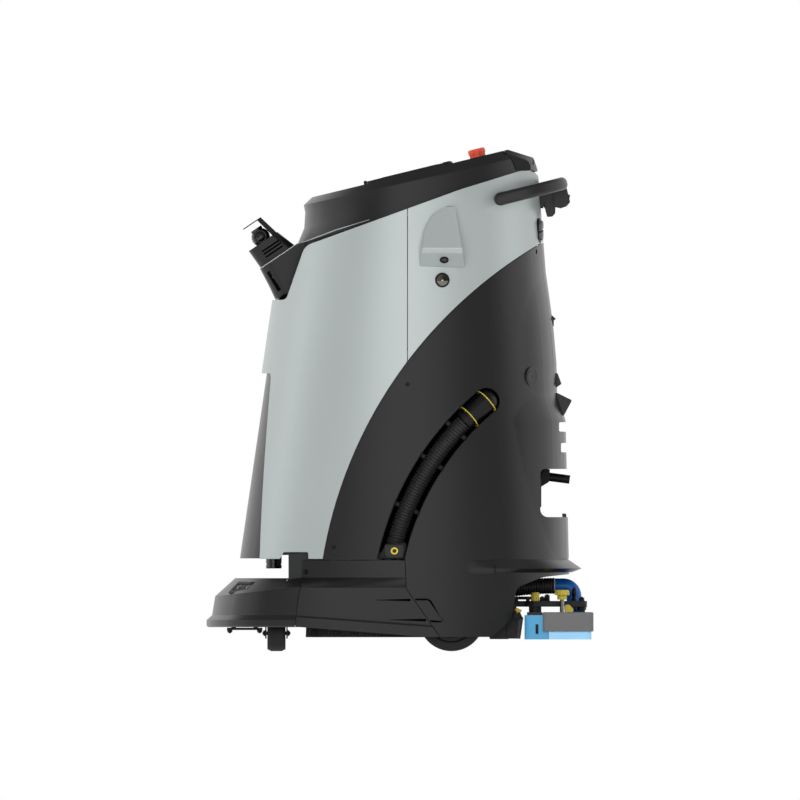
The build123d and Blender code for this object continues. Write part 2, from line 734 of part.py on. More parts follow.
def side_camera_fairings():
    """Fairings on both flanks."""
    return pair(fairing())


def side_sensors():
    """Camera barrels in the fairings and range sensors in the rear shell."""
    plane = sensor_plane()
    sensor = plane.location * Pos(0, 0, -8) * Cylinder(14.6, 22)
    sensor -= plane.location * Pos(0, 0, 3) * Cylinder(10, 3)
    camera = camera_barrel(6.6) - HULL
    shapes = [sensor, camera]
    return Compound(children=shapes + [other_side(shape) for shape in shapes])


def lidar_scanner():
    """Flat scanner that looks out of the gap above the bumper."""
    scanner = Pos(262.6, 0, 186) * Cylinder(16.5, 28)
    scanner = fillet(scanner.edges(), 2)
    return scanner - Pos(262.6, 0, 181) * (Cylinder(17, 3) - Cylinder(15.5, 3))


def open_outline(ahead, flank, plane):
    """Outline of arcs ahead, a flank arc on each side and a straight back."""
    return arc_face(ahead + flank, plane, shut=False)


def base_outline(front, half, inset, plane):
    """Outline of the base at one level, straight across behind the seam with the covers."""
    ahead = [(BASE_CENTRE + x, y) for x, y in quarter(front - BASE_CENTRE, half, BASE_CORNER, inset)]
    flank = []
    for x in (-40.0, BASE_BACK_X):
        drop = BASE_FLANK - sqrt(BASE_FLANK ** 2 - (BASE_CENTRE - x) ** 2)
        flank.append((x, half - inset - drop))
    return open_outline(ahead, flank, plane)


def sill_outline(z, inset):
    """Hull outline at height z, cut straight across at the end of its rear flank arcs."""
    half = hull_half(z)
    front, rear = hull_front(z) - HULL_CENTRE, HULL_CENTRE - hull_rear(z)
    ahead = [(HULL_CENTRE + x, y) for x, y in quarter(front, half, HULL_CORNERS[0], inset)]
    behind = quarter(rear, half, HULL_CORNERS[1], inset)
    flank = [(HULL_CENTRE - x, y) for x, y in (behind[5], behind[4])]
    return open_outline(ahead, flank, Plane.XY.offset(z))


def bumper_loft(inset=0.0):
    """Front bumper from its lip to its flat top, drawn in by inset."""
    foot = 50 - (1 if inset else 0)
    lip = BASE_HALF + 4
    return loft([base_outline(LIP_FRONT - 4, lip - 4, inset, Plane.XY.offset(foot)),
                 base_outline(LIP_FRONT, lip, inset, Plane.XY.offset(53)),
                 base_outline(LIP_FRONT, lip, inset, Plane.XY.offset(65)),
                 base_outline(BASE_FRONT, BASE_HALF, inset, Plane.XY.offset(75)),
                 base_outline(387, BASE_HALF - 1, inset, tilted((387, 114 - inset), 0.112)),
                 base_outline(343, 250, inset, Plane.XY.offset(BUMPER_TOP_Z - inset))], ruled=True)


def bumper_seam(gap):
    """Region ahead of the seam between bumper and skirts."""
    return side_slab(poly((FAR, 0), (219 + gap, 40), (213 + gap, 105), (203 + gap, 152), (203 + gap, 200),
                          (FAR, 200)), -FAR, FAR)


def bumper_pocket(side, length, width, low, high):
    """Room or floor of a sensor pocket, square to the bumper's chamfer."""
    place = Plane(origin=(329, side * 178, 138), x_dir=(-0.62, side * 0.785, 0),
                  z_dir=(0.5, side * 0.4, 0.77))
    return place.location * Pos(0, 0, low) * extrude(RectangleRounded(length, width, 3), high - low)


def front_bumper():
    """Bumper with a raised chamfer, sensor pockets and room for the body posts."""
    bumper = (bumper_loft() & bumper_seam(SEAM / 2)) - (bumper_loft(WALL) & bumper_seam(-SEAM))
    for side in (-1, 1):
        bumper -= block(150, 236, *sorted((side * 188, side * 236)), 90, 200)
        bumper -= bumper_pocket(side, 60, 28, -14, 14)
        bumper += bumper_pocket(side, 68, 36, -12, -6) - bumper_pocket(side, 54, 22, -9, 0)
    return bumper


def skirt_loft(inset=0.0):
    """Side skirt from the floor lip to the sill, drawn in by inset."""
    over = 1 if inset else 0
    return loft([base_outline(LIP_FRONT, BASE_HALF + 3, inset, Plane.XY.offset(20 - over)),
                 base_outline(LIP_FRONT, BASE_HALF + 3, inset, tilted((207, 70), -0.073)),
                 base_outline(BASE_FRONT, BASE_HALF, inset, tilted((207, 74), -0.073)),
                 base_outline(BASE_FRONT, BASE_HALF, inset, Plane.XY.offset(132)),
                 sill_outline(153, inset), sill_outline(189 + over, inset)], ruled=True)


def left_skirt():
    """Left skirt between the bumper and the side cover."""
    gap = SEAM / 2
    zone = poly((203 - gap, 153), (213 - gap, 105), (219 - gap, 50), (207, 50), (-53, COVER_FOOT_Z),
                (-84 + SEAM, COVER_FOOT_Z), (-13.5 + SEAM, 130), (-11.4 + SEAM, 189), (203 - gap, 189))
    skirt = (skirt_loft() - skirt_loft(WALL)) & side_slab(zone, 0, FAR)
    return skirt - side_slab(poly((10, 110), (-30, 110), (-50, 70), (-10, 70)), 282.5, FAR)


def right_skirt():
    """Right skirt."""
    return other_side(left_skirt())


def plate_tabs(x_low, x_high):
    """Tab of the main plate that reaches the covers on both sides."""
    return block(x_low, x_high, -FAR, FAR, PLATE_Z, PLATE_Z + PLATE_THICK) & HULL_FIT


def chassis_frame():
    """Welded lower frame: main plate, axle brackets, front plate, guide rods and caster heads."""
    high = PLATE_Z + PLATE_THICK
    frame = plan_slab(rounded(20, (-236, -205), (200, -205), (200, 205), (-236, 205)), PLATE_Z, high)
    frame += plate_tabs(60, 120) + plate_tabs(-150, -90)
    frame += block(194, 200, -205, 205, FRONT_PLATE_Z, high)
    front_face = rounded(14, (194, -232), (286, -232), (330, -180), (330, 180), (286, 232), (194, 232))
    frame += plan_slab(front_face, FRONT_PLATE_Z, FRONT_PLATE_Z + PLATE_THICK)
    frame += block(320, 374, -60, 60, FRONT_PLATE_Z, FRONT_PLATE_Z + PLATE_THICK)
    frame += block(286, 360, -100, 100, 44, 49)
    for x in (300, 346):
        for y in (-50, 50):
            frame += rod(5, (x, y, 48), (x, y, FRONT_PLATE_Z + 1))
    for side in (-1, 1):
        inner, outer = sorted((side * 180, side * 187))
        bracket = rounded(18, (-166, high), (-156, 42), (-58, 42), (-48, high))
        frame += side_slab(bracket, inner, outer)
        frame += rod(AXLE_RADIUS, (WHEEL_X, side * 183, WHEEL_RADIUS), (WHEEL_X, side * 247, WHEEL_RADIUS))
        head = Pos(CASTER_X, side * CASTER_Y, FRONT_PLATE_Z - 3) * Cylinder(27, 6)
        frame += head + plan_slab(Pos(CASTER_X, side * CASTER_Y) * RectangleRounded(84, 62, 6), 93, 96)
        bore = Pos(CASTER_X, side * CASTER_Y, FRONT_PLATE_Z) * Cylinder(SWIVEL_RADIUS + RUNNING_FIT, 60)
        frame -= bore
        x = BRUSH_X + side * BRUSH_GUIDE
        frame += rod(GUIDE_RADIUS, (x, 0, 46), (x, 0, PLATE_Z + 1))
        x, y = LIFT_GUIDE[0], side * LIFT_GUIDE[1]
        frame += rod(GUIDE_RADIUS, (x, y, 54), (x, y, PLATE_Z + 1))
    return frame


def level_face(z):
    """Plan of a level plate that meets the covers, stepped in behind the front panel."""
    plane = Plane.XY.offset(z)
    front = plane * (Pos(335, 0) * Rectangle(200, 370))
    return (hull_outline(z, WALL + FIT) - front) + (hull_outline(z, PANEL_INSET + WALL + FIT) & front)


def frame_ring(z):
    """Level ring that the covers are screwed to."""
    top = z + PLATE_THICK
    face = level_face(top) - hull_outline(top, PANEL_INSET + WALL + RING_WIDTH)
    return extrude(face, PLATE_THICK, dir=(0, 0, -1))


def shelf():
    """Middle plate that carries the tank, the suction motor and the electronics."""
    plate = extrude(level_face(SHELF_Z + PLATE_THICK), PLATE_THICK, dir=(0, 0, -1))
    for x_low, x_high in ((-90, 60), (100, 200)):
        plate -= plan_slab(rounded(15, (x_low, -120), (x_high, -120), (x_high, 120), (x_low, 120)), 550, 580)
    return plate


def body_cage():
    """Upper cage: rings, shelf, uprights and the two front posts."""
    top_ring = frame_ring(TOP_RING_Z) - block(180, FAR, -FAR, FAR, 700, 900)
    trough_room = side_slab(slot_face(SLOT_WIDTH + 9), SLOT_FLOOR_Y - 5, FAR)
    bars = []
    for x, y, wide in ((155, 178, 38), (-200, 178, 44)):
        for side in (-1, 1):
            bars.append(block(x - POST / 2, x + POST / 2, side * y - POST / 2, side * y + POST / 2,
                              PLATE_Z + PLATE_THICK, TOP_RING_Z + PLATE_THICK))
            low, high = sorted((side * y, side * (y + wide)))
            bars.append(block(x - POST / 2, x + POST / 2, low, high, LOW_RING_Z, LOW_RING_Z + PLATE_THICK))
    for side in (-1, 1):
        low, high = sorted((side * 194, side * 230))
        bars.append(block(203, 232, low, high, FRONT_PLATE_Z + PLATE_THICK, LOW_RING_Z + 3))
        bars.append(block(188, 203, low, high, PLATE_Z + PLATE_THICK, LOW_RING_Z + 3))
    return (frame_ring(LOW_RING_Z) - trough_room).fuse(shelf(), top_ring, *bars)


def clean_water_tank():
    """Clean-water tank ahead of the battery."""
    tank = block(-50, 150, -166, 166, PLATE_Z + PLATE_THICK, 520)
    tank = fillet(tank.edges().filter_by(Axis.Z), 22)
    tank = fillet(tank.faces().sort_by(Axis.Z)[-1].edges(), 10)
    return tank + Pos(60, 100, 525) * Cylinder(28, 16)


def tank_shaft(grow, top):
    """Slanted shaft under the hatch, widened by grow, from the tank's roof to a level near the deck."""
    face = RectangleRounded(MOUTH_LENGTH + 2 * grow, MOUTH_WIDTH + 2 * grow, 12 + grow)
    shaft = hatch_frame() * Pos(0, 0, -NECK_LENGTH) * extrude(face, NECK_LENGTH + top)
    return shaft & block(-FAR, FAR, -FAR, FAR, TANK_TOP_Z - 2 * TANK_WALL, HULL_HIGH)


def recovery_tank():
    """Open-topped recovery tank whose neck meets the deck under the hatch."""
    low = SHELF_Z + PLATE_THICK
    body = fillet(block(-160, 140, -165, 165, low, TANK_TOP_Z).edges(), 18)
    room = fillet(block(-155, 135, -160, 160, low + TANK_WALL, TANK_TOP_Z - TANK_WALL).edges(), 14)
    return body + tank_shaft(7, -WALL) - room - tank_shaft(0, WALL)


def battery_pack():
    """Battery case with ribs and a carrying bar."""
    case = fillet(block(-255, -62, -160, 160, PLATE_Z + PLATE_THICK, 320).edges().filter_by(Axis.Z), 12)
    for i in range(5):
        case -= block(-256, -61, -129 + i * 60, -111 + i * 60, 190, 306) - block(-252, -65, -FAR, FAR, 0, 400)
    return case + block(-175, -145, -60, 60, 320, 334) - block(-180, -140, -45, 45, 320, 328)


def vacuum_motor():
    """Suction motor with its muffler neck."""
    low = SHELF_Z + PLATE_THICK
    motor = Pos(-224, -70, low + 60) * Cylinder(58, 120)
    motor = fillet(motor.edges(), 8)
    return motor + Pos(-224, -70, low + 135) * Cylinder(26, 34)


def control_box():
    """Electronics box with cooling fins on its lid."""
    low = SHELF_Z + PLATE_THICK
    box = fillet(block(-266, -170, 16, 146, low, low + 150).edges().filter_by(Axis.Z), 8)
    for i in range(7):
        box += block(-260, -176, 24 + 18 * i, 28 + 18 * i, low + 150, low + 164)
    return box


def drain_path(start, end):
    """Part of the drain hose's centre arc, from the top at 0 to the foot at 1."""
    arc = ThreePointArc(*SLOT_ARC)
    points = [arc @ (start + (end - start) * t) for t in (0, 0.5, 1)]
    return ThreePointArc(*[(point.X, DRAIN_Y, point.Y) for point in points])


def bellows(path, radius, depth, pitch):
    """Ribbed hose along a path: four circles to a rib, with its bore."""
    count = int(path.length / pitch)
    places = [(i + step) / count for i in range(count) for step in (0.0, 0.3, 0.5, 0.8)] + [1.0]
    sections = []
    for n, place in enumerate(places):
        size = radius if n % 4 in (1, 2) else radius - depth
        sections.append(Plane(path @ place, x_dir=(0, 1, 0), z_dir=path % place) * Circle(size))
    bore = sweep(Plane(path @ 0, x_dir=(0, 1, 0), z_dir=path % 0) * Circle(radius - depth - 2), path=path)
    return loft(sections, ruled=True) - bore


def drain_hose():
    """Ribbed drain hose lying in its slot."""
    return bellows(drain_path(0.165, 0.985), DRAIN_RADIUS, RIB_DEPTH, DRAIN_PITCH)


def drain_plug():
    """Turned plug in the upper end of the drain hose, with two ring seats and a domed head."""
    path = drain_path(0.0, 0.16)
    start, axis = path @ 1, (path @ 0) - (path @ 1)
    length = axis.length
    steps = [(0, 0), (21, 0), (21, 9), (19.5, 9), (19.5, length * 0.55), (21.5, length * 0.55),
             (21.5, length * 0.8), (18, length * 0.98), (8, length + 9), (0, length + 9)]
    profile = poly(*steps)
    solid = revolve(Plane.XZ * profile, Axis.Z)
    return Plane(start, z_dir=axis).location * solid


def hose_cradle():
    """Cradle block that holds the foot of the drain hose."""
    face = rounded(4, (-14, 226), (30, 222), (46, SILL_Z + 3), (-8, SILL_Z + 3))
    cradle = side_slab(face, SLOT_FLOOR_Y, 262) & side_slab(slot_face(SLOT_WIDTH - 0.8), 190, FAR)
    path = drain_path(0.8, 1.0)
    bore = sweep(Plane(path @ 0, x_dir=(0, 1, 0), z_dir=path % 0) * Circle(DRAIN_RADIUS + 0.4), path=path)
    return cradle - bore


def splash_guards():
    """Flaps behind the drive wheels."""
    flap = rounded(3, (-186, PLATE_Z), (-186, 25), (-226, 25), (-253, 74), (-224, 120), (-224, PLATE_Z))
    return pair(side_slab(flap, 197, 203))


def drive_tyre(side):
    """Tyre with rounded shoulders and cross grooves."""
    half = WHEEL_WIDTH / 2
    face = rounded(5, (HUB_RADIUS, -half), (WHEEL_RADIUS, -half), (WHEEL_RADIUS, half), (HUB_RADIUS, half))
    tyre = revolve(Plane.XZ * face, Axis.Z)
    for i in range(24):
        tyre -= Rot(0, 0, 15 * i) * Pos(WHEEL_RADIUS, 0, 0) * Rot(25, 0, 0) * Box(4, 3, 30)
    return Pos(WHEEL_X, side * WHEEL_Y, WHEEL_RADIUS) * Rot(90, 0, 0) * tyre


def drive_hub(side):
    """Hub motor with a dished outer face and bolt circle."""
    half = WHEEL_WIDTH / 2 - 2
    face = poly((AXLE_RADIUS + RUNNING_FIT, -half), (HUB_RADIUS, -half), (HUB_RADIUS, half),
                (HUB_RADIUS - 8, half), (HUB_RADIUS - 14, half - 6), (AXLE_RADIUS + 8, half - 3),
                (AXLE_RADIUS + 6, half), (AXLE_RADIUS + RUNNING_FIT, half))
    hub = revolve(Plane.XZ * face, Axis.Z)
    for i in range(6):
        hub -= Rot(0, 0, 60 * i) * Pos(27, 0, half) * Cylinder(3, 18)
    return Pos(WHEEL_X, side * WHEEL_Y, WHEEL_RADIUS) * Rot(-90 * side, 0, 0) * hub


def caster_fork(side):
    """Swivel fork, turned so that its axle lies along X."""
    fork = Cylinder(23, 6, align=UPRIGHT) + Cylinder(SWIVEL_RADIUS, 20, align=UPRIGHT)
    fork = Pos(0, 0, 83.6) * fork
    cheek = rounded(5, (-21, 89), (21, 89), (-CASTER_TRAIL + 12, 26), (-CASTER_TRAIL - 12, 26))
    inner = CASTER_WIDTH / 2 + 1.5
    leg = front_slab(cheek, inner, inner + 3)
    fork += leg + mirror(leg, about=Plane.YZ)
    fork += block(-inner - 3, inner + 3, -17, 17, 83.6, 88)
    end = inner + 4.5
    fork += rod(CASTER_AXLE, (-end, -CASTER_TRAIL, CASTER_RADIUS), (end, -CASTER_TRAIL, CASTER_RADIUS))
    return Pos(CASTER_X, side * CASTER_Y, 0) * fork


def caster_wheel(side):
    """Solid caster wheel with a crowned tread."""
    half = CASTER_WIDTH / 2
    bore = CASTER_AXLE + RUNNING_FIT
    edge = [(bore, -half), (14, -half), (16, 4 - half), (27, 4 - half), (30, -half),
            (CASTER_RADIUS - 4, -half), (CASTER_RADIUS, 8 - half)]
    face = poly(*edge, *[(x, -y) for x, y in reversed(edge)])
    wheel = revolve(Plane.XZ * face, Axis.Z)
    return Pos(CASTER_X, side * CASTER_Y - CASTER_TRAIL, CASTER_RADIUS) * Rot(0, 90, 0) * wheel


def brush_deck():
    """Lifting deck plate over the two brushes, with guide bosses."""
    plan = Pos(BRUSH_X, 0) * Rectangle(208, 150)
    for side in (-1, 1):
        plan += Pos(BRUSH_X, side * BRUSH_Y) * Circle(BRUSH_RADIUS + 5)
    deck = plan_slab(plan, DECK_Z, DECK_Z + 6)
    for side in (-1, 1):
        x = BRUSH_X + side * BRUSH_GUIDE
        deck += Pos(x, 0, DECK_Z + 18) * Cylinder(14, 36)
        deck -= Pos(x, 0, DECK_Z + 10) * Cylinder(GUIDE_RADIUS + RUNNING_FIT, 120)
        deck -= Pos(BRUSH_X, side * BRUSH_Y, DECK_Z) * Cylinder(SPINDLE_RADIUS + RUNNING_FIT, 40)
    return deck


def brush_motors():
    """Two brush motors standing on the deck."""
    motor = Pos(BRUSH_X, BRUSH_Y, DECK_Z + 6 + 36) * Cylinder(MOTOR_RADIUS, 72)
    motor = fillet(motor.edges().group_by(Axis.Z)[-1], 6)
    for i in range(8):
        fin = Pos(MOTOR_RADIUS, 0, 0) * Box(6, 4, 48)
        motor -= Pos(BRUSH_X, BRUSH_Y, DECK_Z + 42) * Rot(0, 0, 45 * i) * fin
    motor -= Pos(BRUSH_X, BRUSH_Y, DECK_Z + 14) * Cylinder(SPINDLE_RADIUS + RUNNING_FIT, 40)
    return pair(motor)


def brush(side):
    """Disc brush: backing with spindle, and square bristle tufts fused to it."""
    disc = Pos(0, 0, BRUSH_BACK_Z + 7) * Cylinder(BRUSH_RADIUS, 14)
    disc -= Pos(0, 0, BRUSH_BACK_Z) * Cylinder(30, 16)
    disc += Pos(0, 0, DECK_Z + 4) * Cylinder(SPINDLE_RADIUS, 36)
    tuft = Box(STRAND, STRAND, BRUSH_BACK_Z - BRUSH_FLOOR_Z + 1, align=UPRIGHT)
    tufts = []
    for radius, count in BRUSH_RINGS:
        for i in range(count):
            tufts.append(Rot(0, 0, 360 * i / count) * Pos(radius, 0, BRUSH_FLOOR_Z) * tuft)
    return Pos(BRUSH_X, side * BRUSH_Y, 0) * disc.fuse(*tufts)


def squeegee_carrier():
    """Lift plate on the guide rods, with bosses and the front blade strip."""
    plan = rounded(12, (-205, -66), (-205, 66), (-268, 66), (-268, 112), (-389, 112), (-389, -112),
                   (-268, -112), (-268, -66))
    carrier = plan_slab(plan, CARRIER_Z, CARRIER_Z + CARRIER_THICK)
    carrier -= Pos(ELBOW_X, 0, CARRIER_Z) * Cylinder(ELBOW_RADIUS + 4, 60)
    for side in (-1, 1):
        guide = Pos(LIFT_GUIDE[0], side * LIFT_GUIDE[1], CARRIER_Z)
        carrier += guide * Cylinder(12, 46)
        carrier -= guide * Cylinder(GUIDE_RADIUS + RUNNING_FIT, 80)
        x, y = CLAMP_NUT[0], side * CLAMP_NUT[1]
        carrier += rod(13, (x, y, HOOD[3]), (x, y, CARRIER_Z))
        carrier += rod(7, (-378, side * 98, HOOD[3]), (-378, side * 98, CARRIER_Z))
    strip = block(HOOD[1], -264, -SQUEEGEE_HALF + 10, SQUEEGEE_HALF - 10, 75, HOOD[3])
    return carrier + strip


def squeegee_housing():
    """Grey hood over the rear blade, open below and rounded at its corners."""
    x_low, x_high, z_low, z_high = HOOD
    hood = block(x_low, x_high, -SQUEEGEE_HALF, SQUEEGEE_HALF, z_low, z_high)
    hood = fillet(hood.edges().filter_by(Axis.Z), 9)
    hood = fillet(hood.faces().sort_by(Axis.Z)[-1].edges(), 3)
    inner = SQUEEGEE_HALF - WALL
    room = fillet(block(x_low + WALL, x_high - WALL, -inner, inner, z_low - 1, z_high - WALL).edges()
                  .filter_by(Axis.Z), 5)
    hood = hood - room
    hood -= block(x_high - WALL - 1, x_high + 1, -inner + 1, inner - 1, z_low - 1, 75.2)
    hood -= Pos(ELBOW_X, 0, z_high) * Cylinder(ELBOW_RADIUS + RUNNING_FIT, 20)
    return hood


def blade_wall(x_open, x_shut, half, z_high, corner):
    """U-shaped blade wall in plan, shut at x_shut and open at x_open."""
    over = copysign(20.0, x_open - x_shut)
    inward = copysign(BLADE_THICK, x_open - x_shut)
    outer = FilletPolyline((x_open, -half), (x_shut, -half), (x_shut, half), (x_open, half),
                           radius=[1, corner, corner, 1], close=True)
    thin = half - BLADE_THICK
    inner = FilletPolyline((x_open + over, -thin), (x_shut + inward, -thin), (x_shut + inward, thin),
                           (x_open + over, thin), radius=[1, corner - BLADE_THICK, corner - BLADE_THICK, 1],
                           close=True)
    return plan_slab(make_face(outer) - make_face(inner), BLADE_FOOT_Z, z_high)


def squeegee_rear_blade():
    """Pale rear blade that wraps both ends of the hood."""
    return blade_wall(-312, HOOD[0] + WALL + 0.3, SQUEEGEE_HALF - WALL - 0.3, HOOD[3] - WALL, 9)


def squeegee_front_blade():
    """Blue front blade with its water slots and end hooks."""
    blade = blade_wall(-311, FRONT_BLADE_X, SQUEEGEE_HALF - WALL - BLADE_THICK - 0.8, 75, 14)
    for i in range(13):
        y = -240 + 40 * i
        blade -= block(-275, -250, y - 4, y + 4, 0, 34)
    return blade - block(-288, -282, -FAR, FAR, 36, 56)


def suction_elbow():
    """Blue elbow from the hood up and forward to the vacuum hose."""
    turn = 22.0
    path = FilletPolyline((ELBOW_X, 0, HOOD[3] - WALL), (ELBOW_X, 0, 136), (-322, 0, 136), radius=turn)
    outer = sweep(Plane(path @ 0, z_dir=path % 0) * Circle(ELBOW_RADIUS), path=path)
    inner = sweep(Plane(path @ 0, z_dir=path % 0) * Circle(ELBOW_RADIUS - 3), path=path)
    flange = Pos(ELBOW_X, 0, HOOD[3] + 2) * (Cylinder(ELBOW_RADIUS + 3.6, 4) - Cylinder(ELBOW_RADIUS - 1, 4))
    return outer - inner + flange


def vacuum_hose():
    """Short ribbed suction hose between the body and the elbow."""
    path = ThreePointArc((-216, 0, 127), (-268.9, 0, 133.8), (-321.8, 0, 136))
    return bellows(path, HOSE_RADIUS, 2.4, 5.6)


def clamp_knobs():
    """Yellow hand nuts of the front blade and wing nuts of the hood."""
    top = CARRIER_Z + CARRIER_THICK
    nut = Pos(*CLAMP_NUT, top + 9) * Cylinder(9, 18)
    nut = fillet(nut.edges().group_by(Axis.Z)[-1], 2)
    wing = rounded(4, (-342, HOOD[3]), (-342, 96), (-352, 97), (-361, 88), (-361, HOOD[3]))
    wing = side_slab(wing, 118, 128)
    shapes = [nut, wing]
    return Compound(children=shapes + [other_side(shape) for shape in shapes])


def pitch_knob(side):
    """Mushroom knob on its screw, standing on the hood."""
    steps = [(0, 0), (4.3, 0), (4.3, 26), (10, 26), (10, 35.5), (15.5, 35.5), (15.5, 43), (13, 46), (0, 46)]
    knob = revolve(Plane.XZ * poly(*steps), Axis.Z)
    for i in range(10):
        knob -= Rot(0, 0, 36 * i) * Pos(16.6, 0, 40) * Cylinder(2, 20)
    return Pos(PITCH_KNOB[0], side * PITCH_KNOB[1], HOOD[3]) * knob


def e_stop_button():
    """Red mushroom button on its stem."""
    head = Cylinder(ESTOP_RADIUS, ESTOP_HEAD, align=UPRIGHT)
    head = fillet(head.edges().group_by(Axis.Z)[-1], 3)
    stem = Cylinder(ESTOP_STEM, ESTOP_DEPTH + ESTOP_LIFT, align=UPRIGHT)
    return deck_plane(ESTOP_X).location * (Pos(0, 0, ESTOP_LIFT) * head + Pos(0, 0, -ESTOP_DEPTH) * stem)


PARTS = {
    "chassis_frame": chassis_frame, "body_cage": body_cage, "front_shell": front_shell,
    "rear_shell": rear_shell, "left_side_cover": left_side_cover, "right_side_cover": right_side_cover,
    "rear_panel": rear_panel, "rear_hook": rear_hook, "front_panel": front_panel, "top_deck": top_deck,
    "console": console, "display_screen": display_screen, "push_handle": push_handle,
    "rear_camera": rear_camera, "button_bezel": button_bezel, "turret_base": turret_base,
    "turret_head": turret_head, "turret_lidar": turret_lidar, "turret_visor": turret_visor,
    "side_camera_fairings": side_camera_fairings, "side_sensors": side_sensors,
    "lidar_scanner": lidar_scanner, "front_bumper": front_bumper, "left_skirt": left_skirt,
    "right_skirt": right_skirt, "clean_water_tank": clean_water_tank, "recovery_tank": recovery_tank,
    "battery_pack": battery_pack, "vacuum_motor": vacuum_motor, "control_box": control_box,
    "drain_hose": drain_hose, "drain_plug": drain_plug, "hose_cradle": hose_cradle,
    "splash_guards": splash_guards, "vacuum_hose": vacuum_hose,
    "left_drive_tyre": lambda: drive_tyre(1), "left_drive_hub": lambda: drive_hub(1),
    "right_drive_tyre": lambda: drive_tyre(-1), "right_drive_hub": lambda: drive_hub(-1),
    "left_caster_fork": lambda: caster_fork(1), "left_caster_wheel": lambda: caster_wheel(1),
    "right_caster_fork": lambda: caster_fork(-1), "right_caster_wheel": lambda: caster_wheel(-1),
    "brush_deck": brush_deck, "brush_motors": brush_motors, "left_brush": lambda: brush(1),
    "right_brush": lambda: brush(-1), "squeegee_carrier": squeegee_carrier,
    "squeegee_housing": squeegee_housing, "squeegee_front_blade": squeegee_front_blade,
    "squeegee_rear_blade": squeegee_rear_blade, "suction_elbow": suction_elbow,
    "clamp_knobs": clamp_knobs, "left_pitch_knob": lambda: pitch_knob(1),
    "right_pitch_knob": lambda: pitch_knob(-1), "e_stop_button": e_stop_button,
    "upper_button": lambda: push_button(1), "lower_button": lambda: push_button(-1),
    "tank_hatch": tank_hatch,
}

if __name__ == "__main__":
    os.makedirs("parts", exist_ok=True)
    for name, make in PARTS.items():
        export_step(make(), f"parts/{name}.step")
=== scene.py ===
"""Looks of a robotic floor scrubber: finishes, fine pieces, studio light and camera round its solids."""
import logging
import math
import random
from dataclasses import dataclass
from enum import Enum
from typing import Sequence

import bmesh
import bpy
from mathutils import Matrix, Vector
from mathutils.bvhtree import BVHTree


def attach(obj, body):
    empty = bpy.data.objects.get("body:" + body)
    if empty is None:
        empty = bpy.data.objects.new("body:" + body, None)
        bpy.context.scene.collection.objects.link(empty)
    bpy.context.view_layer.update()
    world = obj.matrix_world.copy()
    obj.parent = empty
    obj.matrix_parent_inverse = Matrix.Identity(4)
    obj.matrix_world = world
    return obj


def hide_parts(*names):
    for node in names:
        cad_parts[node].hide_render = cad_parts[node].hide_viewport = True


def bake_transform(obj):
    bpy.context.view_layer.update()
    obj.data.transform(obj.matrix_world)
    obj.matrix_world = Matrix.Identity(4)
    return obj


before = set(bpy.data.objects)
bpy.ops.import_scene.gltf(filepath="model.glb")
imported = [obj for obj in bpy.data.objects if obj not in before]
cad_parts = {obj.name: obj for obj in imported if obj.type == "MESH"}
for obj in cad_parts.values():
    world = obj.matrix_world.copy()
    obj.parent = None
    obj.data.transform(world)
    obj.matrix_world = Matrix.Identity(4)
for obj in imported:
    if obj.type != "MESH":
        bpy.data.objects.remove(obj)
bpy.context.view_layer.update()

MM = 0.001
AXIS = 0.01
SHARP_DEG = 32.0
WELD_GAP = 0.02
FACE_WEIGHT = 50
EDGE_RADIUS = 1.1
# Bend between the rounded and the true normal over which the painted edge highlight grows
EDGE_HIGHLIGHT_BEND = (0.99, 0.8)
NOISE_SPAN = (0.3, 0.7)
GLOSS_SWING = 0.07
COAT_ROUGHNESS = 0.08
DRAG_STRETCH = 30
SIDES = (("left", 1), ("right", -1))
UP = (0, 0, 1)
LEFT = (0, 1, 0)
LOG = logging.getLogger("scrubber")

Form = bmesh.types.BMesh
Tree = bpy.types.NodeTree
Node = bpy.types.Node
Point = Sequence[float]
Outline = Sequence[tuple[float, float]]


class Body(Enum):
    """Rigid bodies that pieces ride on."""

    MAIN = "body"
    SQUEEGEE = "squeegee"
    HATCH = "hatch"
    E_STOP = "e_stop"
    LEFT_WHEEL = "left_wheel"
    RIGHT_WHEEL = "right_wheel"
    LEFT_SWIVEL = "left_swivel"
    RIGHT_SWIVEL = "right_swivel"
    LEFT_DISC = "left_disc"
    RIGHT_DISC = "right_disc"
    LEFT_KNOB = "left_knob"
    RIGHT_KNOB = "right_knob"


class Pattern(Enum):
    """How a surface's fine relief was made."""

    MOULDED = "moulded"
    SPRAYED = "sprayed"
    BRUSHED = "brushed"
    POLISHED = "polished"


def linear(hex_code: str) -> tuple[float, float, float, float]:
    """Turns an sRGB hex colour to linear RGBA.

    Args:
        hex_code: Six hex digits.

    Returns:
        Linear red, green and blue, and an alpha of one.
    """
    shares = [int(hex_code[i:i + 2], 16) / 255 for i in (0, 2, 4)]
    red, green, blue = [c / 12.92 if c <= 0.04045 else ((c + 0.055) / 1.055) ** 2.4 for c in shares]
    return red, green, blue, 1.0


def add_node(tree: Tree, kind: str, inputs: dict | None = None, **settings) -> Node:
    """Adds a shader node with its settings, values and links.

    Args:
        tree: Tree that gets the node.
        kind: Blender's name of the node type, without ShaderNode before it.
        inputs: Socket name or number to a plain value, or to the socket or node that feeds it.
        settings: Attributes set on the node itself.

    Returns:
        The new node.
    """
    node = tree.nodes.new("ShaderNode" + kind)
    for name, value in settings.items():
        setattr(node, name, value)
    for name, value in (inputs or {}).items():
        source = value.outputs[0] if isinstance(value, Node) else value
        if isinstance(source, bpy.types.NodeSocket):
            tree.links.new(source, node.inputs[name])
        else:
            node.inputs[name].default_value = source
    return node


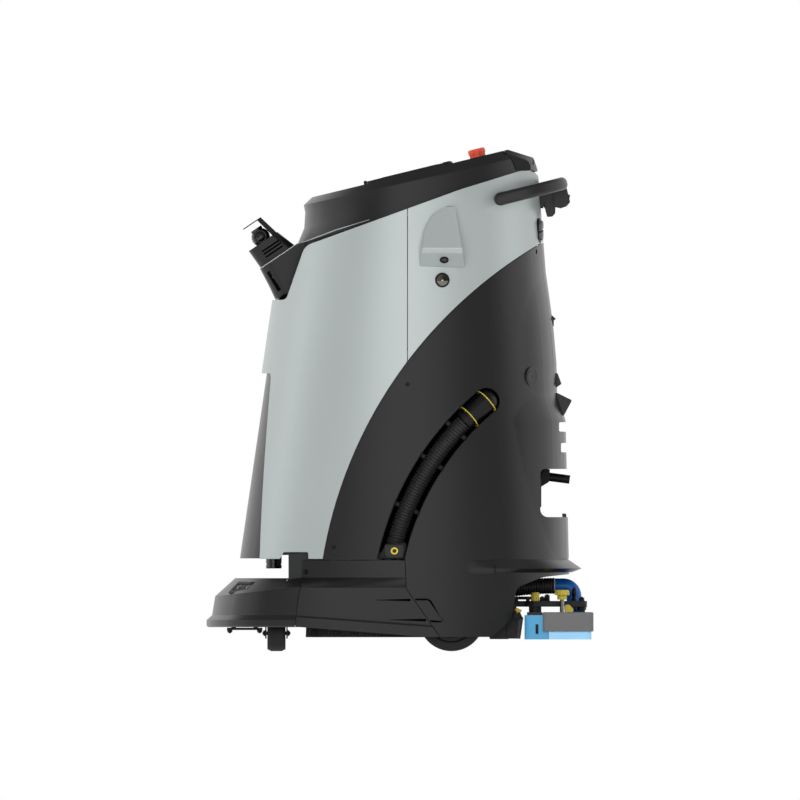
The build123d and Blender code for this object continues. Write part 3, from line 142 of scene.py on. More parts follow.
@dataclass(frozen=True)
class Finish:
    """A real material and the way its surface was made.

    Sizes are in millimetres: grain_mm is the spacing of the fine relief, grain_depth_mm its height and
    drift_mm the width of the slow changes in tone and gloss that keep a large face from looking flat.
    slot is the record's material slot of a piece with this finish, and empty where only CAD nodes have it; it
    is not used.
    """

    name: str
    colour: str
    roughness: float
    pattern: Pattern
    grain_mm: float
    grain_depth_mm: float
    drift_mm: float
    drift: float
    # edge: share by which the base colour is made lighter on rounded edges, a painted highlight
    edge: float
    ior: float = 1.5
    metallic: float = 0.0
    coat: float = 0.0
    glow: float = 0.0
    slot: str = ""

    def material(self) -> bpy.types.Material:
        """Makes the material once and gives it back after that."""
        made = bpy.data.materials.get(self.name)
        if made is not None:
            return made
        made = bpy.data.materials.new(self.name)
        made.use_nodes = True
        tree = made.node_tree
        tree.nodes.clear()
        shader = add_node(tree, "BsdfPrincipled", {
            "IOR": self.ior, "Metallic": self.metallic, "Coat Weight": self.coat,
            "Coat Roughness": COAT_ROUGHNESS, "Emission Strength": self.glow,
            "Emission Color": linear(self.colour), **self.wiring(tree)})
        add_node(tree, "OutputMaterial", {"Surface": shader})
        return made

    def wiring(self, tree: Tree) -> dict[str, Node]:
        """Adds the nodes of tone, gloss, relief and a painted highlight on rounded edges.

        Args:
            tree: Tree of the material.

        Returns:
            The node that feeds each of the shader's sockets.
        """
        place = add_node(tree, "TexCoord").outputs["Object"]
        slow = add_node(tree, "TexNoise", {"Vector": place, "Scale": 1 / (self.drift_mm * MM), "Detail": 3.0})
        swing = {"Value": slow, "From Min": NOISE_SPAN[0], "From Max": NOISE_SPAN[1]}
        tone = add_node(tree, "MapRange", {**swing, "To Min": 1 - self.drift, "To Max": 1 + self.drift})
        gloss = add_node(tree, "MapRange", {
            **swing, "To Min": self.roughness * (1 - GLOSS_SWING),
            "To Max": self.roughness * (1 + GLOSS_SWING)})
        rounded = add_node(tree, "Bevel", {"Radius": EDGE_RADIUS * MM}, samples=4)
        face = add_node(tree, "NewGeometry").outputs["Normal"]
        # Painted highlight: the base colour is made lighter by the edge share where the Bevel node's rounded
        # normal bends away from the face's normal
        bend = add_node(tree, "VectorMath", {0: rounded, 1: face}, operation="DOT_PRODUCT")
        rim = add_node(tree, "MapRange", {
            "Value": bend.outputs["Value"], "From Min": EDGE_HIGHLIGHT_BEND[0], "From Max": EDGE_HIGHLIGHT_BEND[1], "To Min": 1.0,
            "To Max": 1 + self.edge})
        lift = add_node(tree, "Math", {0: tone, 1: rim}, operation="MULTIPLY")
        colour = add_node(tree, "VectorMath", {0: linear(self.colour)[:3], "Scale": lift}, operation="SCALE")
        bump = add_node(tree, "Bump", {
            "Height": self.relief(tree, place), "Distance": self.grain_depth_mm * MM, "Strength": 1.0,
            "Normal": rounded})
        return {"Base Color": colour, "Roughness": gloss, "Normal": bump}

    def relief(self, tree: Tree, place: bpy.types.NodeSocket) -> Node:
        """Adds the fine relief of the surface.

        Args:
            tree: Tree of the material.
            place: Socket with the place on the object, in metres.

        Returns:
            Node that gives the height, from zero to one.
        """
        scale = 1 / (self.grain_mm * MM)
        if self.pattern is Pattern.BRUSHED:
            stretch = add_node(tree, "Mapping", {
                "Vector": place, "Scale": (scale, scale / DRAG_STRETCH, scale)})
            return add_node(tree, "TexNoise", {"Vector": stretch, "Scale": 1.0, "Detail": 2.0})
        if self.pattern is Pattern.MOULDED:
            return add_node(tree, "TexVoronoi", {"Vector": place, "Scale": scale}, feature="SMOOTH_F1")
        return add_node(tree, "TexNoise", {"Vector": place, "Scale": scale, "Detail": 1.0})


# Painted ABS shell: a sprayed satin coat, so even in tone, with a soft sheen and a trace of orange peel
GREY_PAINT = Finish("satin_silver_paint_on_abs", "AFB7B6", 0.30, Pattern.SPRAYED, 2.4, 0.003, 220, 0.012,
                    0.06, metallic=0.25, slot="grey_shell")
# Mould-textured ABS: spark-eroded grain, drawn coarser than its real 0.3 mm so that it shows at all
DARK_ABS = Finish("mould_textured_charcoal_abs", "171717", 0.30, Pattern.MOULDED, 1.5, 0.004, 160, 0.04,
                  0.35, slot="dark_cover")
BLACK_ABS = Finish("mould_textured_black_abs", "0F0F0F", 0.4, Pattern.MOULDED, 1.3, 0.006, 120, 0.04,
                   0.35, 1.36, slot="black_deck")
# Satin and gloss ABS of the deck and turret: finer grain, so the studio's walls show as soft bands
DECK_ABS = Finish("satin_black_deck_abs", "1B1B1B", 0.32, Pattern.MOULDED, 1.4, 0.004, 150, 0.04,
                  0.35, 1.46, slot="black_deck")
TURRET_ABS = Finish("gloss_black_turret_abs", "0D0D0D", 0.26, Pattern.MOULDED, 1.4, 0.003, 120, 0.04, 0.35)
# Plain moulded ABS of buttons and battery cases: even, half matt
BUTTON_GREY = Finish("moulded_grey_button_abs", "585858", 0.4, Pattern.MOULDED, 1.2, 0.01, 20, 0.04, 0.2,
                     slot="black_deck")
BATTERY_ABS = Finish("moulded_battery_case_abs", "222325", 0.5, Pattern.MOULDED, 1.6, 0.03, 90, 0.04, 0.3)
# Polished polycarbonate over infrared parts: black, glassy, almost without relief
IR_WINDOW = Finish("polished_infrared_polycarbonate", "060607", 0.08, Pattern.POLISHED, 6, 0.001, 60, 0.02,
                   0.0, 1.58, coat=0.6, slot="scanner_dome")
# Glass: a coated lens with sharp reflections, and a display cover that is etched to a soft sheen
LENS_GLASS = Finish("coated_lens_glass", "05060A", 0.03, Pattern.POLISHED, 6, 0.0005, 20, 0.02, 0.0, 1.6,
                    coat=1.0, slot="scanner_dome")
SCREEN_GLASS = Finish("etched_display_glass", "08090B", 0.16, Pattern.POLISHED, 5, 0.001, 60, 0.02, 0.0, 1.52)
# Backlit film behind the display glass: dim blue ground with brighter tiles
SCREEN_FILM = Finish("backlit_display_film", "101A24", 0.2, Pattern.POLISHED, 4, 0.001, 50, 0.05, 0.0,
                     glow=0.3, slot="screen_glass")
SCREEN_TILE = Finish("backlit_display_tiles", "5F8FAE", 0.25, Pattern.POLISHED, 4, 0.001, 20, 0.08, 0.0,
                     glow=0.12, slot="screen_glass")
# Soft-touch thermoplastic rubber: matt, with a fine bead-blasted tooth
GRIP_TPE = Finish("soft_touch_black_tpe", "1C1C1C", 0.38, Pattern.SPRAYED, 1.0, 0.02, 90, 0.05, 0.3,
                  slot="handle_grip")
# Overmoulded elastomer panel: matt, so it stays darker than the plastic round it
PANEL_TPE = Finish("overmoulded_black_tpe", "2B2B2B", 0.8, Pattern.SPRAYED, 0.9, 0.01, 60, 0.05, 0.0, 1.2,
                   slot="black_deck")
# Extruded and moulded rubbers: the hose is smooth and greyish, flaps and tyres are matt and dark
HOSE_RUBBER = Finish("extruded_black_hose_eva", "2B2B2B", 0.42, Pattern.SPRAYED, 2.0, 0.01, 40, 0.06, 0.5,
                     slot="hose_black")
FLAP_RUBBER = Finish("moulded_black_epdm", "161616", 0.6, Pattern.SPRAYED, 1.5, 0.02, 60, 0.06, 0.4,
                     slot="flap_rubber")
TYRE_RUBBER = Finish("moulded_tyre_polyurethane", "161616", 0.62, Pattern.SPRAYED, 1.4, 0.03, 45, 0.08, 0.5)
# Drawn nylon: strands that differ a little in tone
NYLON = Finish("drawn_black_nylon_bristle", "262626", 0.45, Pattern.SPRAYED, 3.0, 0.01, 9, 0.25, 0.0,
               slot="bristle")
# Painted shade: flat matt black laid in gaps, grooves, slots, seams and vents, where only shade falls
SHADE_BLACK = Finish("painted_shade_flat_black", "030303", 0.95, Pattern.SPRAYED, 0.9, 0.05, 30, 0.06, 0.0, 1.1,
                    slot="flap_rubber")
# Powder coat on steel and alloy: thick, pebbled, satin black
POWDER_COAT = Finish("black_powder_coat_on_steel", "1B1C1D", 0.5, Pattern.SPRAYED, 1.1, 0.03, 80, 0.05, 0.4,
                     slot="frame_steel")
HUB_COAT = Finish("black_powder_coat_on_alloy", "151617", 0.5, Pattern.SPRAYED, 1.1, 0.03, 80, 0.05, 0.4)
# Black-oxide steel: a thin dark conversion coat, oily and half metallic
BLACK_OXIDE = Finish("black_oxide_on_steel", "1A1B1D", 0.4, Pattern.SPRAYED, 0.8, 0.01, 12, 0.08, 0.3,
                     metallic=0.6, slot="plated_steel")
# Bare metals: zinc with fine bright drag lines, and a grainy grey casting
ZINC = Finish("bright_zinc_plate_on_steel", "B9BBBD", 0.28, Pattern.BRUSHED, 0.5, 0.004, 30, 0.06, 0.1,
              metallic=1.0, slot="plated_steel")
CAST_ALLOY = Finish("sand_cast_aluminium", "8E9093", 0.45, Pattern.SPRAYED, 0.9, 0.04, 40, 0.06, 0.1,
                    metallic=1.0)
# Rotomoulded polyethylene: milky and slightly uneven
TANK_PE = Finish("rotomoulded_natural_polyethylene", "C9CAC4", 0.5, Pattern.SPRAYED, 5, 0.05, 90, 0.03, 0.0)
# Squeegee: a half-matt hood of glass-filled nylon over smooth, waxy blades of cast polyurethane
HOOD_NYLON = Finish("moulded_grey_filled_nylon", "686868", 0.5, Pattern.MOULDED, 1.4, 0.015, 90, 0.04, 0.25,
                    slot="hood_grey")
BLADE_PALE = Finish("cast_pale_blue_polyurethane", "9CD6FA", 0.4, Pattern.POLISHED, 4, 0.01, 70, 0.03, 0.1)
BLADE_BLUE = Finish("cast_blue_polyurethane", "4E9FCC", 0.4, Pattern.POLISHED, 4, 0.01, 50, 0.05, 0.15)
# Coloured mouldings and print: saturated and half matt, with a painted highlight on the edges of the
# mouldings
ELBOW_BLUE = Finish("moulded_blue_polypropylene", "0C58A6", 0.38, Pattern.MOULDED, 1.5, 0.01, 40, 0.05, 0.25)
KNOB_YELLOW = Finish("moulded_yellow_nylon", "C2AE3C", 0.45, Pattern.MOULDED, 1.2, 0.02, 20, 0.06, 0.2,
                     slot="yellow_knob")
MARK_YELLOW = Finish("printed_yellow_ink", "E3C93C", 0.5, Pattern.SPRAYED, 2, 0.004, 20, 0.03, 0.0,
                     slot="yellow_knob")
STOP_RED = Finish("moulded_red_polycarbonate", "FF6144", 0.34, Pattern.POLISHED, 3, 0.004, 25, 0.04, 0.15,
                  slot="stop_red")


def mm(x: float, y: float, z: float) -> Vector:
    """Point in metres from one in millimetres."""
    return Vector((x, y, z)) * MM


def shift(x: float, y: float, z: float) -> Matrix:
    """Move by a distance in millimetres."""
    return Matrix.Translation(mm(x, y, z))


def spread(start: float, end: float, count: int) -> list[float]:
    """Evenly spaced values from a start to an end."""
    return [start + (end - start) * i / (count - 1) for i in range(count)]


def smooth(mesh: bpy.types.Mesh, sharp_deg: float = SHARP_DEG) -> None:
    """Shades a mesh smooth, with hard edges where faces meet at more than an angle."""
    mesh.shade_smooth()
    mesh.set_sharp_from_angle(angle=math.radians(sharp_deg))


def dress(finish: Finish, *nodes: str) -> None:
    """Gives CAD nodes their finish and smooth shading.

    Args:
        finish: Finish of their surfaces.
        nodes: Names of the nodes.
    """
    for node in nodes:
        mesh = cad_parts[node].data
        mesh.materials.clear()
        mesh.materials.append(finish.material())
        smooth(mesh)
        LOG.info("dressed %s in %s", node, finish.name)


def soften(node: str, sharp_deg: float) -> None:
    """Shades a node's shallow facets as one curve, by modifiers that leave its mesh as it is.

    Args:
        node: The CAD node.
        sharp_deg: Angle above which an edge stays sharp.
    """
    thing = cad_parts[node]
    weld = thing.modifiers.new("weld", "WELD")
    weld.merge_threshold = WELD_GAP * MM
    split = thing.modifiers.new("sharp_edges", "EDGE_SPLIT")
    split.split_angle = math.radians(sharp_deg)
    split.use_edge_sharp = False
    thing.modifiers.new("soft_facets", "WEIGHTED_NORMAL").weight = FACE_WEIGHT


def make_object(name: str, form: Form, finish: Finish, sharp_deg: float = SHARP_DEG) -> bpy.types.Object:
    """Turns a form into an object of the scene.

    Args:
        name: Name of the piece.
        form: Its mesh, in the row frame, in metres. It is freed.
        finish: Finish of its surface.
        sharp_deg: Angle above which an edge stays hard.

    Returns:
        The new object.
    """
    mesh = bpy.data.meshes.new(name)
    bmesh.ops.recalc_face_normals(form, faces=form.faces)
    form.to_mesh(mesh)
    form.free()
    mesh.materials.append(finish.material())
    smooth(mesh, sharp_deg)
    made = bpy.data.objects.new(name, mesh)
    bpy.context.scene.collection.objects.link(made)
    LOG.info("added %s with %d faces", name, len(mesh.polygons))
    return made


def add_piece(name: str, form: Form, finish: Finish, body: Body = Body.MAIN,
              replaces: Sequence[str] = (), sharp_deg: float = SHARP_DEG) -> None:
    """Turns a form into a piece that rides on a body.

    Args:
        name: Name of the piece.
        form: Its mesh, in the row frame, in metres. It is freed.
        finish: Finish of its surface.
        body: Body that it moves with.
        replaces: CAD nodes that it stands for.
        sharp_deg: Angle above which an edge stays hard.
    """
    made = make_object(name, form, finish, sharp_deg)
    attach(made, body.value)
    if replaces:
        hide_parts(*replaces)


def axes_at(origin: Point, up: Point, ahead: Point = (1, 0, 0)) -> Matrix:
    """Frame with its Z axis along a direction.

    Args:
        origin: Place of the frame, in metres.
        up: Direction of its Z axis.
        ahead: Direction that its X axis is turned towards.

    Returns:
        Matrix from the frame to the row frame.
    """
    z = Vector(up).normalized()
    y = z.cross(Vector(ahead))
    if y.length < 1e-6:
        y = z.cross(Vector(LEFT))
    y.normalize()
    x = y.cross(z)
    return Matrix.Translation(Vector(origin)) @ Matrix((x, y, z)).transposed().to_4x4()


def rings_to_form(rings: Sequence[Sequence[Vector]], closed: bool = False) -> Form:
    """Skins closed rings of points, one after another.

    Args:
        rings: Rings with the same number of points.
        closed: Whether the last ring joins the first. Open ends get a face.

    Returns:
        The skinned form.
    """
    form = bmesh.new()
    rows = [[form.verts.new(point) for point in ring] for ring in rings]
    count = len(rows[0])
    pairs = list(zip(rows, rows[1:])) + ([(rows[-1], rows[0])] if closed else [])
    for low, high in pairs:
        for i in range(count):
            form.faces.new((low[i], low[(i + 1) % count], high[(i + 1) % count], high[i]))
    if not closed:
        form.faces.new(rows[0][::-1])
        form.faces.new(rows[-1])
    return form


def lathe(profile: Outline, place: Matrix, segments: int = 48, ring: bool = False) -> Form:
    """Turns a profile about a frame's Z axis.

    Args:
        profile: Radius and height of each point, in millimetres, from one end to the other.
        place: Frame of the axis.
        segments: Steps round the axis.
        ring: Whether the profile's end joins its start, as in a ring with a bore.

    Returns:
        The turned form, shut at both ends.
    """
    turns = [2 * math.pi * i / segments for i in range(segments)]
    rings = []
    for radius, height in profile:
        rings.append([place @ mm(radius * math.cos(a), radius * math.sin(a), height) for a in turns])
    return rings_to_form(rings, closed=ring)


def slab(outline: Outline, thick: float, place: Matrix, edge: float = 0.0) -> Form:
    """Raises a flat outline along a frame's Z axis.

    Args:
        outline: Points of the outline in the frame's XY plane, in millimetres.
        thick: Height, in millimetres.
        place: Frame of the outline.
        edge: Width of the bevel round the top, in millimetres.

    Returns:
        The raised form.
    """
    form = bmesh.new()
    base = form.faces.new([form.verts.new((x * MM, y * MM, 0)) for x, y in outline])
    raised = bmesh.ops.extrude_face_region(form, geom=[base])["geom"]
    top = [item for item in raised if isinstance(item, bmesh.types.BMVert)]
    bmesh.ops.translate(form, verts=top, vec=(0, 0, thick * MM))
    if edge:
        chosen = set(top)
        edges = [e for e in form.edges if e.verts[0] in chosen and e.verts[1] in chosen]
        bmesh.ops.bevel(form, geom=edges, offset=edge * MM, offset_type="OFFSET", segments=3, profile=0.5,
                        affect="EDGES", clamp_overlap=True)
    form.transform(place)
    return form


def rounded_outline(length: float, width: float, radius: float, steps: int = 6) -> Outline:
    """Rectangle with round corners, centred on the origin.

    Args:
        length: Size along X, in millimetres.
        width: Size along Y, in millimetres.
        radius: Corner radius, in millimetres.
        steps: Steps in each corner.

    Returns:
        Points in order.
    """
    points = []
    for quarter, (sx, sy) in enumerate(((1, 1), (-1, 1), (-1, -1), (1, -1))):
        for i in range(steps + 1):
            angle = math.pi / 2 * (quarter + i / steps)
            points.append((sx * (length / 2 - radius) + radius * math.cos(angle),
                           sy * (width / 2 - radius) + radius * math.sin(angle)))
    return points


def join(*forms: Form) -> Form:
    """Puts several forms into the first one and frees the rest."""
    whole = forms[0]
    for form in forms[1:]:
        mesh = bpy.data.meshes.new("joined")
        form.to_mesh(mesh)
        form.free()
        whole.from_mesh(mesh)
        bpy.data.meshes.remove(mesh)
    return whole


def arc_through(first: Vector, middle: Vector, last: Vector, count: int) -> list[Vector]:
    """Evenly spaced points on the circular arc through three points.

    Args:
        first: Start of the arc.
        middle: A point on it.
        last: Its end.
        count: Number of points.

    Returns:
        The points in order.
    """
    a, b = middle - first, last - first
    normal = a.cross(b)
    centre = first + (normal.cross(a) * b.length_squared + b.cross(normal) * a.length_squared) / (
        2 * normal.length_squared)
    start, end = first - centre, last - centre
    return [centre + Matrix.Rotation(turn, 3, normal) @ start for turn in spread(0, start.angle(end), count)]


@dataclass(frozen=True)
class Turned:
    """Turned shape: radius and height along its profile, steps round it, and whether it has a bore."""

    profile: Outline
    segments: int = 48
    ring: bool = False

    def at(self, place: Matrix) -> Form:
        """The shape about a frame's Z axis."""
        return lathe(self.profile, place, self.segments, self.ring)


@dataclass(frozen=True)
class Tablet:
    """Flat shape with round corners and a bevel round its top, in millimetres."""

    length: float
    width: float
    corner: float
    thick: float
    edge: float = 0.0
    steps: int = 6

    def at(self, place: Matrix) -> Form:
        """The shape on a frame's XY plane."""
        outline = rounded_outline(self.length, self.width, self.corner, self.steps)
        return slab(outline, self.thick, place, self.edge)


@dataclass(frozen=True)
class Plate:
    """Plate that stands along the machine: X and Z of its corners, thickness and bevel, in millimetres."""

    outline: Outline
    thick: float
    edge: float

    def at(self, middle: float) -> Form:
        """The plate with its middle at one Y, in millimetres, and the bevel round its left face."""
        place = axes_at(mm(0, middle - self.thick / 2, 0), LEFT)
        return slab([(x, -z) for x, z in self.outline], self.thick, place, self.edge)


@dataclass(frozen=True)
class Nut:
    """Hexagon nut on its washer, with the end of its screw standing out, in millimetres."""

    across: float
    height: float

    def at(self, place: Matrix) -> Form:
        """The fastener, from the frame under its washer up along the screw."""
        corner, stem, top = self.across / math.sqrt(3), self.across * 0.3, self.height
        nut = [(AXIS, 1), (corner * 0.94, 1), (corner, 1.6), (corner, top + 0.4), (corner * 0.92, top + 1),
               (AXIS, top + 1)]
        washer = [(AXIS, 0), (corner * 1.15, 0), (corner * 1.2, 0.3), (corner * 1.15, 1), (AXIS, 1)]
        tip = [(AXIS, top), (stem, top), (stem, top + 2.2), (stem * 0.8, top + 2.8), (AXIS, top + 2.8)]
        return join(lathe(nut, place, 6), lathe(washer, place, 28), lathe(tip, place, 18))


class Surface:
    """Finds places on the faces of CAD nodes."""

    ray_start = 420.0
    least_width = 0.03

    def __init__(self, *nodes: str) -> None:
        """Reads the nodes' meshes."""
        corners: list[Vector] = []
        faces: list[tuple[int, ...]] = []
        for node in nodes:
            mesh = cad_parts[node].data
            first = len(corners)
            corners.extend(vertex.co.copy() for vertex in mesh.vertices)
            faces.extend(tuple(first + i for i in face.vertices) for face in mesh.polygons)
        self.tree = BVHTree.FromPolygons(corners, faces)

    def side_spot(self, x: float, z: float, sign: int) -> tuple[Vector, Vector] | None:
        """Place on one side of the machine at a point of the side view.

        Args:
            x: Its X, in millimetres.
            z: Its Z, in millimetres.
            sign: 1 on the left side and -1 on the right.

        Returns:
            The place and the outward normal there, or None past the side's edge.
        """
        spot, normal, _, _ = self.tree.ray_cast(mm(x, sign * self.ray_start, z), Vector((0, -sign, 0)))
        if spot is None or spot.y * sign < self.least_width:
            return None
        return spot, normal if normal.y * sign > 0 else -normal

    def side_frame(self, x: float, z: float, sign: int) -> Matrix:
        """Frame at such a place, with Z out of the face and its X axis up."""
        return axes_at(*self.side_spot(x, z, sign), UP)


def ribbon(surface: Surface, path: Sequence[Point], sign: int, depth: float, thick: float) -> Form:
    """Strip that follows the side of the casing along a line of the side view.

    Args:
        surface: Faces that it follows.
        path: Corners of the line as X, Z and half width, in millimetres.
        sign: 1 on the left side and -1 on the right.
        depth: Depth of its outer face under the surface, in millimetres. Negative stands proud.
        thick: Its thickness, in millimetres.

    Returns:
        The strip.
    """
    ring_step = 8.0
    rings = []
    for (x0, z0, w0), (x1, z1, w1) in zip(path, path[1:]):
        run = Vector((x1 - x0, z1 - z0))
        across = Vector((-run.y, run.x)).normalized()
        count = max(1, round(run.length / ring_step))
        for i in range(count + (1 if (x1, z1, w1) == tuple(path[-1]) else 0)):
            part = i / count
            half = w0 + (w1 - w0) * part
            ring = []
            back = depth + thick
            for offset, drop in ((-half, depth), (half, depth), (half, back), (-half, back)):
                x, z = x0 + run.x * part + across.x * offset, z0 + run.y * part + across.y * offset
                found = surface.side_spot(x, z, sign)
                ring.append(None if found is None else found[0] - found[1] * drop * MM)
            if None not in ring:
                rings.append(ring)
    return rings_to_form(rings)


def skin_patch(surface: Surface, columns: Sequence[tuple[float, Outline]], sign: int, under: float) -> Form:
    """Shaped skin laid over the side of the casing.

    Args:
        surface: Faces that it follows.
        columns: Columns of the side view as X and points, each Z and how proud it stands, in millimetres.
        sign: 1 on the left side and -1 on the right.
        under: Depth of its back under the surface, in millimetres.

    Returns:
        The skin.
    """
    rings = []
    for x, spots in columns:
        found = [surface.side_spot(x, z, sign) for z, _ in spots]
        if None not in found:
            rings.append([spot + out * proud * MM for (spot, out), (_, proud) in zip(found, spots)]
                         + [spot - out * under * MM for spot, out in found[::-1]])
    return rings_to_form(rings)


@dataclass(frozen=True)
class Studio:
    """Camera, floor, lamps and background, set out from the photograph's frame."""

    mm_per_px: float = 2.08
    frame_px: int = 800
    floor_px: float = 650.7
    distance: float = 9.0
    floor_size: float = 7.6
    fade: tuple = (0.7, 2.8)
    floor_white: tuple = (0.55, 1.0)
    floor_paint: tuple = (0.8, 0.8, 0.8, 1)
    white: tuple = (1, 1, 1, 1)
    lamps: tuple = (("front", (0, 4.0, 0.9), (2.6, 2.2), 110.0), ("back", (0, -4.0, 0.9), (2.6, 2.2), 110.0),
                    ("nose", (4.0, 0, 0.9), (1.6, 2.0), 64.0), ("tail", (-4.0, 0, 0.9), (1.6, 2.0), 40.0),
                    ("roof", (0, 0, 4.2), (2.6, 2.0), 40.0))
    lamp_aim: tuple = (0, 0, 0.5)
    sky: float = 0.20
    gap: tuple = (0.1, 0.84)
    gap_floor: tuple = (0.06, 0.12)
    gap_turn: float = 0.5
    roof: tuple = (0.45, 0.8)
    roof_gloss: float = 0.05

    def camera(self) -> None:
        """Sets a square-on camera at the photograph's scale."""
        data = bpy.data.cameras.new("side_camera")
        data.type = "ORTHO"
        data.ortho_scale = self.frame_px * self.mm_per_px * MM
        data.clip_end = 100.0
        made = bpy.data.objects.new("side_camera", data)
        middle = (self.floor_px - (self.frame_px - 1) / 2) * self.mm_per_px * MM
        made.location = (0.0, self.distance, middle)
        made.rotation_euler = (math.radians(90), 0.0, math.radians(180))
        bpy.context.scene.collection.objects.link(made)
        bpy.context.scene.camera = made

    def light(self) -> None:
        """Adds soft panels that face the middle of the machine.

        Reflections show the background and not the panels, so that no hot patch lies on the gloss.
        """
        for name, place, size, power in self.lamps:
            data = bpy.data.lights.new(f"{name}_panel_lamp", "AREA")
            data.shape = "RECTANGLE"
            data.size, data.size_y = size
            data.energy = power
            made = bpy.data.objects.new(f"{name}_panel_lamp", data)
            made.location = place
            way = Vector(self.lamp_aim) - Vector(place)
            made.rotation_euler = way.to_track_quat("-Z", "Y").to_euler()
            made.visible_glossy = False
            bpy.context.scene.collection.objects.link(made)

    def background(self) -> None:
        """White where the camera looks past the object, and a low even sky for the light.

        Reflections show a white panel before the photographed side and white walls round the rest, with a dim
        gap between them and a dim roof.
        """
        world = bpy.data.worlds.new("studio_world")
        bpy.context.scene.world = world
        world.use_nodes = True
        tree = world.node_tree
        tree.nodes.clear()
        path = add_node(tree, "LightPath").outputs
        way = add_node(tree, "SeparateXYZ", {0: add_node(tree, "TexCoord").outputs["Generated"]}).outputs
        far, near = self.gap
        panel = add_node(tree, "MapRange", {"Value": way["Y"], "From Min": near, "From Max": 1.0},
                         interpolation_type="SMOOTHSTEP")
        wall = add_node(tree, "MapRange", {"Value": way["Y"], "From Min": near, "From Max": far},
                        interpolation_type="SMOOTHSTEP")
        lit = add_node(tree, "Math", {0: panel, 1: wall}, operation="MAXIMUM")
        dim = add_node(tree, "MapRange", {
            "Value": way["X"], "From Min": -self.gap_turn, "From Max": self.gap_turn,
            "To Min": self.gap_floor[0], "To Max": self.gap_floor[1]})
        side = add_node(tree, "Math", {0: lit, 1: dim}, operation="MAXIMUM")
        roof = add_node(tree, "MapRange", {
            "Value": way["Z"], "From Min": self.roof[0], "From Max": self.roof[1], "To Min": 1.0,
            "To Max": self.roof_gloss}, interpolation_type="SMOOTHSTEP")
        around = add_node(tree, "Math", {0: side, 1: roof}, operation="MULTIPLY")
        gloss = add_node(tree, "Math", {0: path["Is Glossy Ray"], 1: around}, operation="MULTIPLY")
        seen = add_node(tree, "Math", {0: path["Is Camera Ray"], 1: gloss}, operation="MAXIMUM")
        sky = add_node(tree, "Background", {"Color": self.white, "Strength": self.sky})
        white = add_node(tree, "Background", {"Color": self.white, "Strength": 1.0})
        both = add_node(tree, "MixShader", {0: seen, 1: sky, 2: white})
        add_node(tree, "OutputWorld", {"Surface": both})

    def floor(self) -> None:
        """Pale floor that keeps the object's shadow and fades to white away from it."""
        form = bmesh.new()
        half = self.floor_size / 2
        corners = ((-1, -1), (1, -1), (1, 1), (-1, 1))
        form.faces.new([form.verts.new((x * half, y * half, 0)) for x, y in corners])
        mesh = bpy.data.meshes.new("studio_floor")
        form.to_mesh(mesh)
        form.free()
        made = bpy.data.objects.new("studio_floor", mesh)
        bpy.context.scene.collection.objects.link(made)
        paint = bpy.data.materials.new("matt_white_floor_paint")
        paint.use_nodes = True
        tree = paint.node_tree
        tree.nodes.clear()
        path = add_node(tree, "LightPath").outputs
        seen = add_node(tree, "Math", {0: path["Is Camera Ray"], 1: path["Is Glossy Ray"]},
                        operation="MAXIMUM")
        place = add_node(tree, "TexCoord").outputs["Object"]
        reach = add_node(tree, "VectorMath", {0: place}, operation="LENGTH").outputs["Value"]
        fade = add_node(tree, "MapRange", {
            "Value": reach, "From Min": self.fade[0], "From Max": self.fade[1],
            "To Min": self.floor_white[0], "To Max": self.floor_white[1]}, interpolation_type="SMOOTHSTEP")
        weight = add_node(tree, "Math", {0: seen, 1: fade}, operation="MULTIPLY")
        matt = add_node(tree, "BsdfDiffuse", {"Color": self.floor_paint})
        white = add_node(tree, "Emission", {"Color": self.white, "Strength": 1.0})
        both = add_node(tree, "MixShader", {0: weight, 1: matt, 2: white})
        add_node(tree, "OutputMaterial", {"Surface": both})
        mesh.materials.append(paint)

    def build(self) -> None:
        """Sets up the whole studio."""
        bpy.context.scene.view_settings.view_transform = "Standard"
        self.camera()
        self.light()
        self.background()
        self.floor()


@dataclass(frozen=True)
class Casing:
    """Shells, covers, deck, base and inner parts that keep their CAD meshes."""

    deck_sharp: float = 24.0

    def build(self) -> None:
        """Gives the nodes their finishes."""
        for finish, *nodes in (
                (GREY_PAINT, "front_shell", "rear_shell", "side_camera_fairings"),
                (DARK_ABS, "left_side_cover", "right_side_cover", "rear_panel", "front_panel", "left_skirt",
                 "right_skirt", "front_bumper", "rear_camera"),
                (DECK_ABS, "top_deck", "console", "tank_hatch"),
                (TURRET_ABS, "turret_base", "turret_head"),
                (BLACK_ABS, "turret_visor", "hose_cradle", "drain_plug", "button_bezel", "rear_hook"),
                (IR_WINDOW, "turret_lidar", "lidar_scanner", "side_sensors"),
                (SCREEN_GLASS, "display_screen"),
                (GRIP_TPE, "push_handle"),
                (POWDER_COAT, "chassis_frame", "body_cage", "squeegee_carrier", "brush_deck",
                 "left_caster_fork", "right_caster_fork"),
                (TANK_PE, "clean_water_tank", "recovery_tank"),
                (BATTERY_ABS, "battery_pack", "control_box"),
                (CAST_ALLOY, "vacuum_motor", "brush_motors"),
                (HUB_COAT, "left_drive_hub", "right_drive_hub"),
                (FLAP_RUBBER, "splash_guards"),
                (TYRE_RUBBER, "left_drive_tyre", "right_drive_tyre", "left_caster_wheel",
                 "right_caster_wheel"),
                (HOOD_NYLON, "squeegee_housing"),
                (BLADE_PALE, "squeegee_rear_blade"),
                (BLADE_BLUE, "squeegee_front_blade"),
                (ELBOW_BLUE, "suction_elbow"),
                (KNOB_YELLOW, "clamp_knobs", "left_pitch_knob", "right_pitch_knob"),
                (STOP_RED, "e_stop_button"),
                (BUTTON_GREY, "upper_button", "lower_button")):
            dress(finish, *nodes)
        soften("top_deck", self.deck_sharp)


